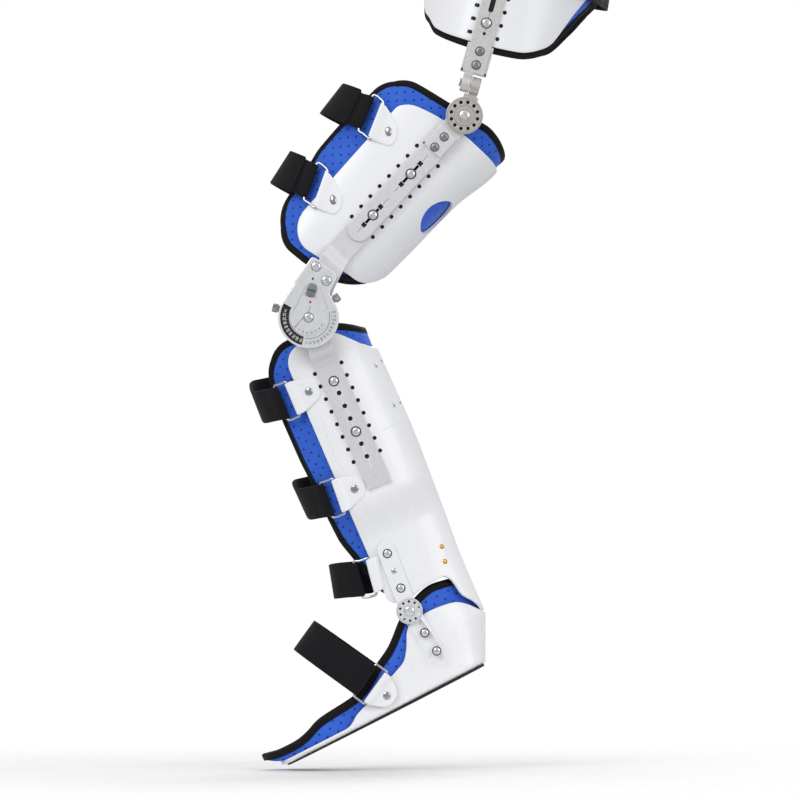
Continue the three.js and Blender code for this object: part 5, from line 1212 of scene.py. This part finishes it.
def polar(r, deg):
    return k(r * math.cos(math.radians(deg)), r * math.sin(math.radians(deg)))


def strip(name, pts, w, l, material, h=0.1):
    """Thin line on a flat face."""
    q = np.array(pts, float)
    tan = unit(np.gradient(q, axis=0))
    n_ = np.stack([-tan[:, 1], tan[:, 0]], -1) * w / 2
    lo = [at((q[:, 0] + s * n_[:, 0], q[:, 1] + s * n_[:, 1]), np.full(len(q), z)) for s, z in ((-1, l), (-1, l + h), (1, l + h), (1, l))]
    return sweep(name, np.stack(lo, 1), material, False, 30)


def sector(r0, r1, a0, a1, n=60):
    t = np.linspace(a0, a1, n)
    return [polar(r1, x) for x in t] + [polar(r0, x) for x in t[::-1]]


def numeral(text, c, size, deg, l, material):
    cu = bpy.data.curves.new("numeral", "FONT")
    cu.body, cu.size, cu.align_x, cu.align_y, cu.extrude, cu.resolution_u = text, size, "CENTER", "CENTER", 0.06, 2
    tmp = bpy.data.objects.new("numeral", cu)
    bpy.context.scene.collection.objects.link(tmp)
    me = bpy.data.meshes.new_from_object(tmp.evaluated_get(bpy.context.evaluated_depsgraph_get()))
    bpy.data.objects.remove(tmp)
    bpy.data.curves.remove(cu)
    co = np.zeros(len(me.vertices) * 3)
    me.vertices.foreach_get("co", co)
    co = co.reshape(-1, 3)
    faces = [tuple(p.vertices) for p in me.polygons]
    bpy.data.meshes.remove(me)
    x, s = math.cos(math.radians(deg)), math.sin(math.radians(deg))
    return make("numeral", np.stack([c[0] + co[:, 0] * x - co[:, 1] * s, -(l + co[:, 2]), c[1] + co[:, 0] * s + co[:, 1] * x], -1), faces, material, None, 30)


tear = [(-32, 17), (-17, 40.3), (-15.5, 46), (3.8, 72.6), (9, 71), (33, 52.5), (34, 48.5), (31.5, 42.5), (24.5, 29)]
around = [polar(36.6, a) for a in np.linspace(16, -206, 90)]
outline = soft(around + [k(*q) for q in tear], [0] * 90 + [6, 6, 3, 4, 4, 4, 3, 4, 8])
slide = bar_line(k(1.8, 26.2), k(4.94, 38.0), 3.6, True, True)
L = 176.7
parts = [
    flat("a", [outline, circle(KNEE, 5, 32), slide], 174.1, L, COVER_RIM, 0.9),
    flat("b", [outline, circle(KNEE, 5, 32), slide], L - 0.4, L + 0.14, COVER, 0.1, shrink=2.0),
    flat("p", [[k(-9, 47), k(3, 68), k(27, 50), k(16, 43.2)][::-1]], 166.5, 174.5, SATIN, 0.3),
    flat("c", [soft([polar(23.6, a) for a in np.linspace(150, 256, 50)] + [polar(34.0, a) for a in np.linspace(256, 150, 50)], [2.6] + [0] * 98 + [2.6])], L + 0.05, L + 0.28, DIAL_BLACK, 0.05),
    strip("d", [polar(25.2, a) for a in np.linspace(262, 376, 60)], 0.42, L + 0.12, DIAL_INK),
    strip("e", [polar(22.6, a) for a in np.linspace(166, 250, 40)], 0.34, L + 0.12, DIAL_INK),
    strip("f", [k(-3.9, 37), k(-11.3, 21.5), k(-18.7, 6.0)], 0.4, L + 0.1, GREY),
    strip("g", [k(13.5, 37), k(18.2, 23.6), k(22.9, 10.0)], 0.4, L + 0.1, GREY),
    strip("h", [k(2.1, 14.1), k(1.9, 11.6), k(0.8, 8.8), k(-2.6, 4.2), k(-6.7, -0.6), k(-12.0, -6.6), k(-17.4, -12.6)], 0.55, L + 0.12, DIAL_INK),
    screw("s1", k(9.0, 61.1), 5.5, L + 0.1, 2.6, 0.35),
    screw("s2", k(21.2, 44.1), 5.5, L + 0.1, 2.6, 0.2),
    ring("t1", k(9.0, 61.1), 5.5, 6.2, L, L + 0.3, GREY),
    ring("t2", k(21.2, 44.1), 5.5, 6.2, L, L + 0.3, GREY),
    # u: small near-black disc of painted shade beside the pin v
    lathe("u", k(5.1, 46.3), [(0.02, L + 0.1), (1.25, L + 0.1), (1.2, L + 0.24), (0.02, L + 0.24)], HOLE_SHADE_BLACK, 20),
    lathe("v", k(5.5, 48.6), [(0.02, L), (1.2, L), (1.1, L + 0.4), (0.6, L + 0.6), (0.02, L + 0.65)], CHROME, 20),
    lathe("w", k(2.1, 18.5), [(0.02, L), (1.6, L), (1.5, L + 0.35), (0.8, L + 0.6), (0.02, L + 0.65)], RED, 24),
]
for i in range(11):
    parts.append(strip("x%d" % i, [polar(24.0, 158.6 + 9.2 * i), polar(33.8, 158.6 + 9.2 * i)], 0.16, L + 0.26, GREY, 0.06))
for i, a in enumerate(np.linspace(163.2, 250.6, 10)):
    parts.append(numeral(str(10 * i), polar(28.8, a), 4.7, a, L + 0.33, DIAL_WHITE))
for i, a in enumerate(np.linspace(265, 372, 13)):
    parts.append(numeral(str(10 * i), polar(30.2, a), 4.0, a, L + 0.2, DIAL_INK))
for i in range(23):
    a = 262 + 5 * i
    parts.append(strip("y%d" % i, [polar(25.4, a), polar(26.7, a)], 0.3, L + 0.12, DIAL_INK))
for i in range(25):
    a = 205 + 5.4 * i
    parts.append(strip("z%d" % i, [polar(21.6 if i % 3 else 20.8, a), polar(22.8, a)], 0.28, L + 0.12, DIAL_INK))
for i, a in enumerate(np.linspace(215, 330, 8)):
    parts.append(numeral(str(15 * i), polar(18.6, a), 2.9, a + 90, L + 0.2, DIAL_INK))
piece("knee_cover", parts, "thigh", "knee_cover")
piece("knee_pivot_screw", [screw("a", KNEE, 5.2, 177.05, 2.4, 0.5, shank=(4.3, 163.4)), ring("b", KNEE, 5.3, 6.2, 176.85, 177.2, GREY)], "thigh", "knee_pivot_screw")

# lock slider: ribbed thumb piece with a domed end
d = unit(np.array([2.4, 9.0]))
e = np.array([d[1], -d[0]])


def sl(u, v):
    return k(3.5 + d[0] * u + e[0] * v, 32.6 + d[1] * u + e[1] * v)


parts = [
    flat("a", [soft([sl(-7.6, -5.7), sl(8.4, -5.7), sl(8.4, 5.7), sl(-7.6, 5.7)], [1, 4.6, 4.6, 1])], 177.05, 179.2, GREY, 0.5),
    flat("b", [soft([sl(0.6, -4.9), sl(7.6, -4.9), sl(7.6, 4.9), sl(0.6, 4.9)], [0.5, 4.0, 4.0, 0.5])], 179.0, 180.1, GREY, 0.5),
    flat("c", [[sl(-0.9, -5.5), sl(0.3, -5.5), sl(0.3, 5.5), sl(-0.9, 5.5)]], 179.1, 179.3, DARKSTEEL, 0.05),
    flat("s", [bar_line(k(3.05, 30.7), k(3.75, 33.4), 2.8, True, True)], 174.4, 177.3, GREY, 0.2),
]
for i in range(5):
    u = -7.0 + 1.3 * i
    parts.append(flat("r%d" % i, [[sl(u, -5.1), sl(u + 0.75, -5.1), sl(u + 0.75, 5.1), sl(u, 5.1)]], 179.0, 180.0, GREY, 0.3))
piece("lock_slider", parts, "lock", "lock_slider")


# stop levers with knurled knobs
def lever(nm, deg, l, body):
    q = lambda r: polar(r, deg)
    t = np.linspace(0, 2 * PI, 108, endpoint=False)
    ridge = 0.34 * np.cos(18 * t)
    e = (-math.sin(math.radians(deg)), math.cos(math.radians(deg)))
    loops = []
    for r, h, g in ((37.6, 0.01, 0), (37.6, 0.84, 0), (38.2, 0.97, 1), (44.0, 0.97, 1), (44.7, 0.86, 0.4), (45.0, 0.62, 0), (44.6, 0.55, 0), (44.6, 0.01, 0)):
        c, w = q(r), (5.0 * h + g * ridge) * np.cos(t)
        loops.append(at((c[0] + e[0] * w, c[1] + e[1] * w), 172.9 + (2.9 * h + g * ridge) * np.sin(t)))
    parts = [
        flat("a", [circle(KNEE, 27, 72), circle(KNEE, 5, 32)], l, l + 1.6, GREY, 0.25),
        flat("b", [bar_line(q(24), q(39.5), 7)], l + 0.02, l + 1.58, GREY, 0.25),
        sweep("c", loops, GREY, False, 40),
    ]
    piece(nm, parts, body, nm)


lever("stop_knob_front", 164, 170.0, "front_stop")
lever("stop_knob_back", 35, 172.0, "back_stop")

# ------------------------------------------------------------------ ankle
parts = [
    flat("a", [bar_line(CF(293, -27), ANKLE, 22, True, False, 24), circle(ANKLE, 9, 40)], 130.5, 132.7, ENAMEL, 0.5),
]
for i, (u, p) in enumerate(((297.6, -27.6), (342.2, -29.4))):
    parts.append(screw("s%d" % i, CF(u, p), 4.3, 132.75, 2.3, 0.4 + i))
    parts.append(ring("r%d" % i, CF(u, p), 4.35, 5.7, 132.6, 133.0, DARKSTEEL))
parts.append(lathe("v", CF(320.1, -28.6), [(0.02, 132.6), (3.4, 132.6), (3.4, 133.0), (2.6, 133.6), (1.2, 133.9), (0.02, 133.95)], CHROME, 32, 50))
piece("ankle_upper_plate", parts, "calf", "ankle_upper_plate")
rim = [circle((ANKLE[0] + 11.6 * math.cos(math.radians(22 + 36 * i)), ANKLE[1] + 11.6 * math.sin(math.radians(22 + 36 * i))), 1.5, 20) for i in range(10)]
parts = [
    flat("a", [circle(ANKLE, 16, 72), circle(ANKLE, 4, 30)] + rim, 133.1, 136.5, COVER, 0.6),
    # b: painted shade, a near-black ring behind the rim holes
    ring("b", ANKLE, 9.2, 14.0, 133.05, 133.5, HOLE_SHADE_BLACK),
    flat("c", [bar_line(ANKLE, FT(-6, -60), 22, False, True, 24), circle(ANKLE, 4.2, 30)], 133.15, 135.5, ENAMEL, 0.5),
    ring("d", ANKLE, 6.2, 8.0, 136.4, 137.0, COVER),
    ring("e", ANKLE, 14.2, 14.6, 136.4, 136.6, GREY),
]
for i, (f_, h) in enumerate(((-4.4, -31.7), (-7.2, -57.6))):
    parts.append(screw("s%d" % i, FT(f_, h), 4.3, 135.55, 2.3, 0.1 + i))
    parts.append(ring("r%d" % i, FT(f_, h), 4.35, 5.7, 135.4, 135.8, DARKSTEEL))
piece("ankle_disc", parts, "foot", "ankle_disc")
piece("ankle_pivot_screw", [screw("a", ANKLE, 5.8, 136.85, 2.4, 0.6)], "foot", "ankle_pivot_screw")


# ------------------------------------------------------------------ small fixings and seams on the plastic
def on(tab, place, u, p):
    """Point, outward normal and two tangents of the outer face of the plastic."""
    phi = float(angle_at(tab, 2.4, u, p))

    def g(uu, ph):
        pp, ll = section(tab, 2.4, uu, ph, 0)
        return at(place(uu, float(pp)), float(ll))

    c = g(u, phi)
    a, b = unit(g(u + 0.5, phi) - g(u - 0.5, phi)), g(u, phi + 0.01) - g(u, phi - 0.01)
    b = unit(b - a * (a @ b))
    n_ = np.cross(a, b)
    return c, n_ * (1 if n_[1] < 0 or abs(n_[1]) < 1e-3 else -1), a, b


def head(name, spot, r, h, material, n=32):
    c, n_, a, b = spot
    t = np.linspace(0, 2 * PI, n, endpoint=False)
    loops = []
    for q, z in ((r, -0.8), (r, h * 0.2), (r * 0.94, h * 0.42), (r * 0.76, h * 0.74), (r * 0.5, h * 0.93), (r * 0.25, h), (0.02, h)):
        loops.append(c + n_ * z + q * (np.cos(t)[:, None] * a + np.sin(t)[:, None] * b))
    return sweep(name, loops, material, False, 50)


def seam(name, tab, place, pts, w=1.5, h=0.4):
    """Low raised edge along the plastic."""
    q = np.array(pts, float)
    dist = np.concatenate([[0], np.cumsum(np.hypot(*np.diff(q, axis=0).T))])
    x = np.linspace(0, dist[-1], max(12, int(dist[-1] / 3)))
    q = np.stack([np.interp(x, dist, q[:, 0]), np.interp(x, dist, q[:, 1])], -1)
    for _ in range(3):
        q[1:-1] = 0.25 * q[:-2] + 0.5 * q[1:-1] + 0.25 * q[2:]
    fr = [on(tab, place, u, p) for u, p in q]
    C, N = np.array([f_[0] for f_ in fr]), np.array([f_[1] for f_ in fr])
    side = unit(np.cross(np.gradient(C, axis=0), N))
    grow = np.minimum(1, np.minimum(np.arange(len(q)), np.arange(len(q))[::-1]) / 3 + 0.05)[:, None, None]
    prof = np.array([(-w / 2, -0.5), (-w / 2, 0.0), (-w / 4, h), (w / 5, h), (w / 2, 0.0), (w / 2, -0.5)])
    loops = C[:, None] + side[:, None] * prof[None, :, :1] * grow + N[:, None] * prof[None, :, 1:] * grow
    return sweep(name, loops, WHITE, False, 25)


bits = [head("b%d" % i, on(CALF, CF, u, p), 3.1, 1.6, BRASS) for i, (u, p) in enumerate(((316.4, 35.6), (334.3, 31.8)))]
put(join("brass_rivets", bits), "calf")
bits = [head("b%d" % i, on(CALF, CF, u, p), 2.6, 1.3, CHROME) for i, (u, p) in enumerate(((81.4, 59.0), (85.1, 50.4), (136.6, 59.2), (137.2, 51.2)))]
put(join("rear_screws", bits), "calf")
bits = [
    seam("s0", CALF, CF, [(159.0, 22.5), (158.4, 40.0), (157.0, 58.0)]),
    seam("s1", CALF, CF, [(100.0, -32.0), (130.0, -35.5), (164.8, -37.6), (187.2, -34.4), (222.7, -25.0)]),
    seam("s2", CALF, CF, [(300.0, 41.0), (322.0, 34.5), (342.0, 28.0)], 10.5, 0.5),
]
put(join("calf_seams", bits), "calf")
put(join("thigh_seams", [seam("s3", THIGH, TH, [(84.0, 30.5), (99.0, 30.0), (140.0, 28.0), (180.0, 26.0)], 1.3, 0.3)]), "thigh")


# ------------------------------------------------------------------ stage
sc = bpy.context.scene
sc.view_settings.view_transform = "Standard"
sc.view_settings.look = "None"
sc.view_settings.exposure = 0.0
world = bpy.data.worlds.new("studio")
sc.world = world
world.use_nodes = True
wt = world.node_tree
wt.nodes.clear()
w_out = wt.nodes.new("ShaderNodeOutputWorld")
w_mix = wt.nodes.new("ShaderNodeMixShader")
w_path = wt.nodes.new("ShaderNodeLightPath")
w_amb = wt.nodes.new("ShaderNodeBackground")
w_cam = wt.nodes.new("ShaderNodeBackground")
w_grad = wt.nodes.new("ShaderNodeTexCoord")
w_sep = wt.nodes.new("ShaderNodeSeparateXYZ")
w_ramp = wt.nodes.new("ShaderNodeValToRGB")
wt.links.new(w_grad.outputs["Generated"], w_sep.inputs[0])
w_map = wt.nodes.new("ShaderNodeMapRange")
w_map.inputs["From Min"].default_value, w_map.inputs["From Max"].default_value = -1.0, 1.0
wt.links.new(w_sep.outputs[2], w_map.inputs[0])
wt.links.new(w_map.outputs[0], w_ramp.inputs[0])
for e, (pos, c) in zip(w_ramp.color_ramp.elements, ((0.2, (0.62, 0.63, 0.66, 1)), (0.85, (1.0, 1.0, 1.0, 1)))):
    e.position, e.color = pos, c
wt.links.new(w_ramp.outputs[0], w_amb.inputs[0])
w_amb.inputs[1].default_value = 0.66
w_cam.inputs[0].default_value = (1, 1, 1, 1)
w_cam.inputs[1].default_value = 1.0
wt.links.new(w_path.outputs["Is Camera Ray"], w_mix.inputs[0])
wt.links.new(w_amb.outputs[0], w_mix.inputs[1])
wt.links.new(w_cam.outputs[0], w_mix.inputs[2])
wt.links.new(w_mix.outputs[0], w_out.inputs[0])


def area(name, loc, target, size, energy, color=(1, 1, 1)):
    d = bpy.data.lights.new(name, "AREA")
    d.shape, d.size, d.energy, d.color = "DISK", size, energy, color
    o = bpy.data.objects.new(name, d)
    o.location = loc
    o.rotation_euler = (Vector(target) - Vector(loc)).to_track_quat("-Z", "Y").to_euler()
    sc.collection.objects.link(o)
    return o


MIDDLE = (-0.13, 0.0, -0.48)
area("key", (-1.7, -2.4, 1.3), MIDDLE, 1.8, 36.0)
area("fill", (2.2, -2.2, 0.3), MIDDLE, 2.2, 22.0)
area("back", (0.9, 2.4, 1.2), MIDDLE, 1.6, 30.0)

# pale round floor that fades out
rings = np.concatenate([[0.001], np.linspace(60, 1500, 25)])
ang = np.linspace(0, 2 * PI, 96, endpoint=False)
loops = [np.stack([-190 + r * np.cos(ang), -88 + r * np.sin(ang), np.full(96, -938.5)], -1) for r in rings]
k = Look("floor", 0.0, Specular_IOR_Level=0.2)
d = k.node("ShaderNodeVectorMath", {0: k.node("ShaderNodeMapping", {"Vector": k.where, "Location": (0.19, 0.088, 0.9385)}).outputs[0]}, operation="LENGTH").outputs["Value"]
FLOOR = k.set(k.ramp(k.noise(3.0), (0.3, lin("#f4f4f5")), (0.7, lin("#fafafa"))), k.span(k.noise(60.0), 0.5, 0.6))
fade = k.node("ShaderNodeMapRange", {"Value": d, "From Min": 0.12, "From Max": 0.95, "To Min": 1.0, "To Max": 0.0}, interpolation_type="SMOOTHSTEP").outputs[0]
mixer = k.t.nodes.new("ShaderNodeMixShader")
clear = k.t.nodes.new("ShaderNodeBsdfTransparent")
k.t.links.new(fade, mixer.inputs[0])
k.t.links.new(clear.outputs[0], mixer.inputs[1])
k.t.links.new(k.bsdf.outputs[0], mixer.inputs[2])
k.t.links.new(mixer.outputs[0], k.t.nodes["Material Output"].inputs[0])
m = len(ang)
faces = [(i * m + j, i * m + (j + 1) % m, (i + 1) * m + (j + 1) % m, (i + 1) * m + j) for i in range(len(rings) - 1) for j in range(m)]
floor = make("floor", np.array(loops).reshape(-1, 3), faces, FLOOR)

cam = bpy.data.cameras.new("camera")
cam.sensor_width, cam.lens, cam.clip_end = 36.0, 36 * (12 - 0.16) / 0.96, 100.0
cam.dof.use_dof = False
eye = bpy.data.objects.new("camera", cam)
eye.location = (-0.132, -12.0, -0.492)
eye.rotation_euler = (math.radians(90), 0, 0)
sc.collection.objects.link(eye)
sc.camera = eye
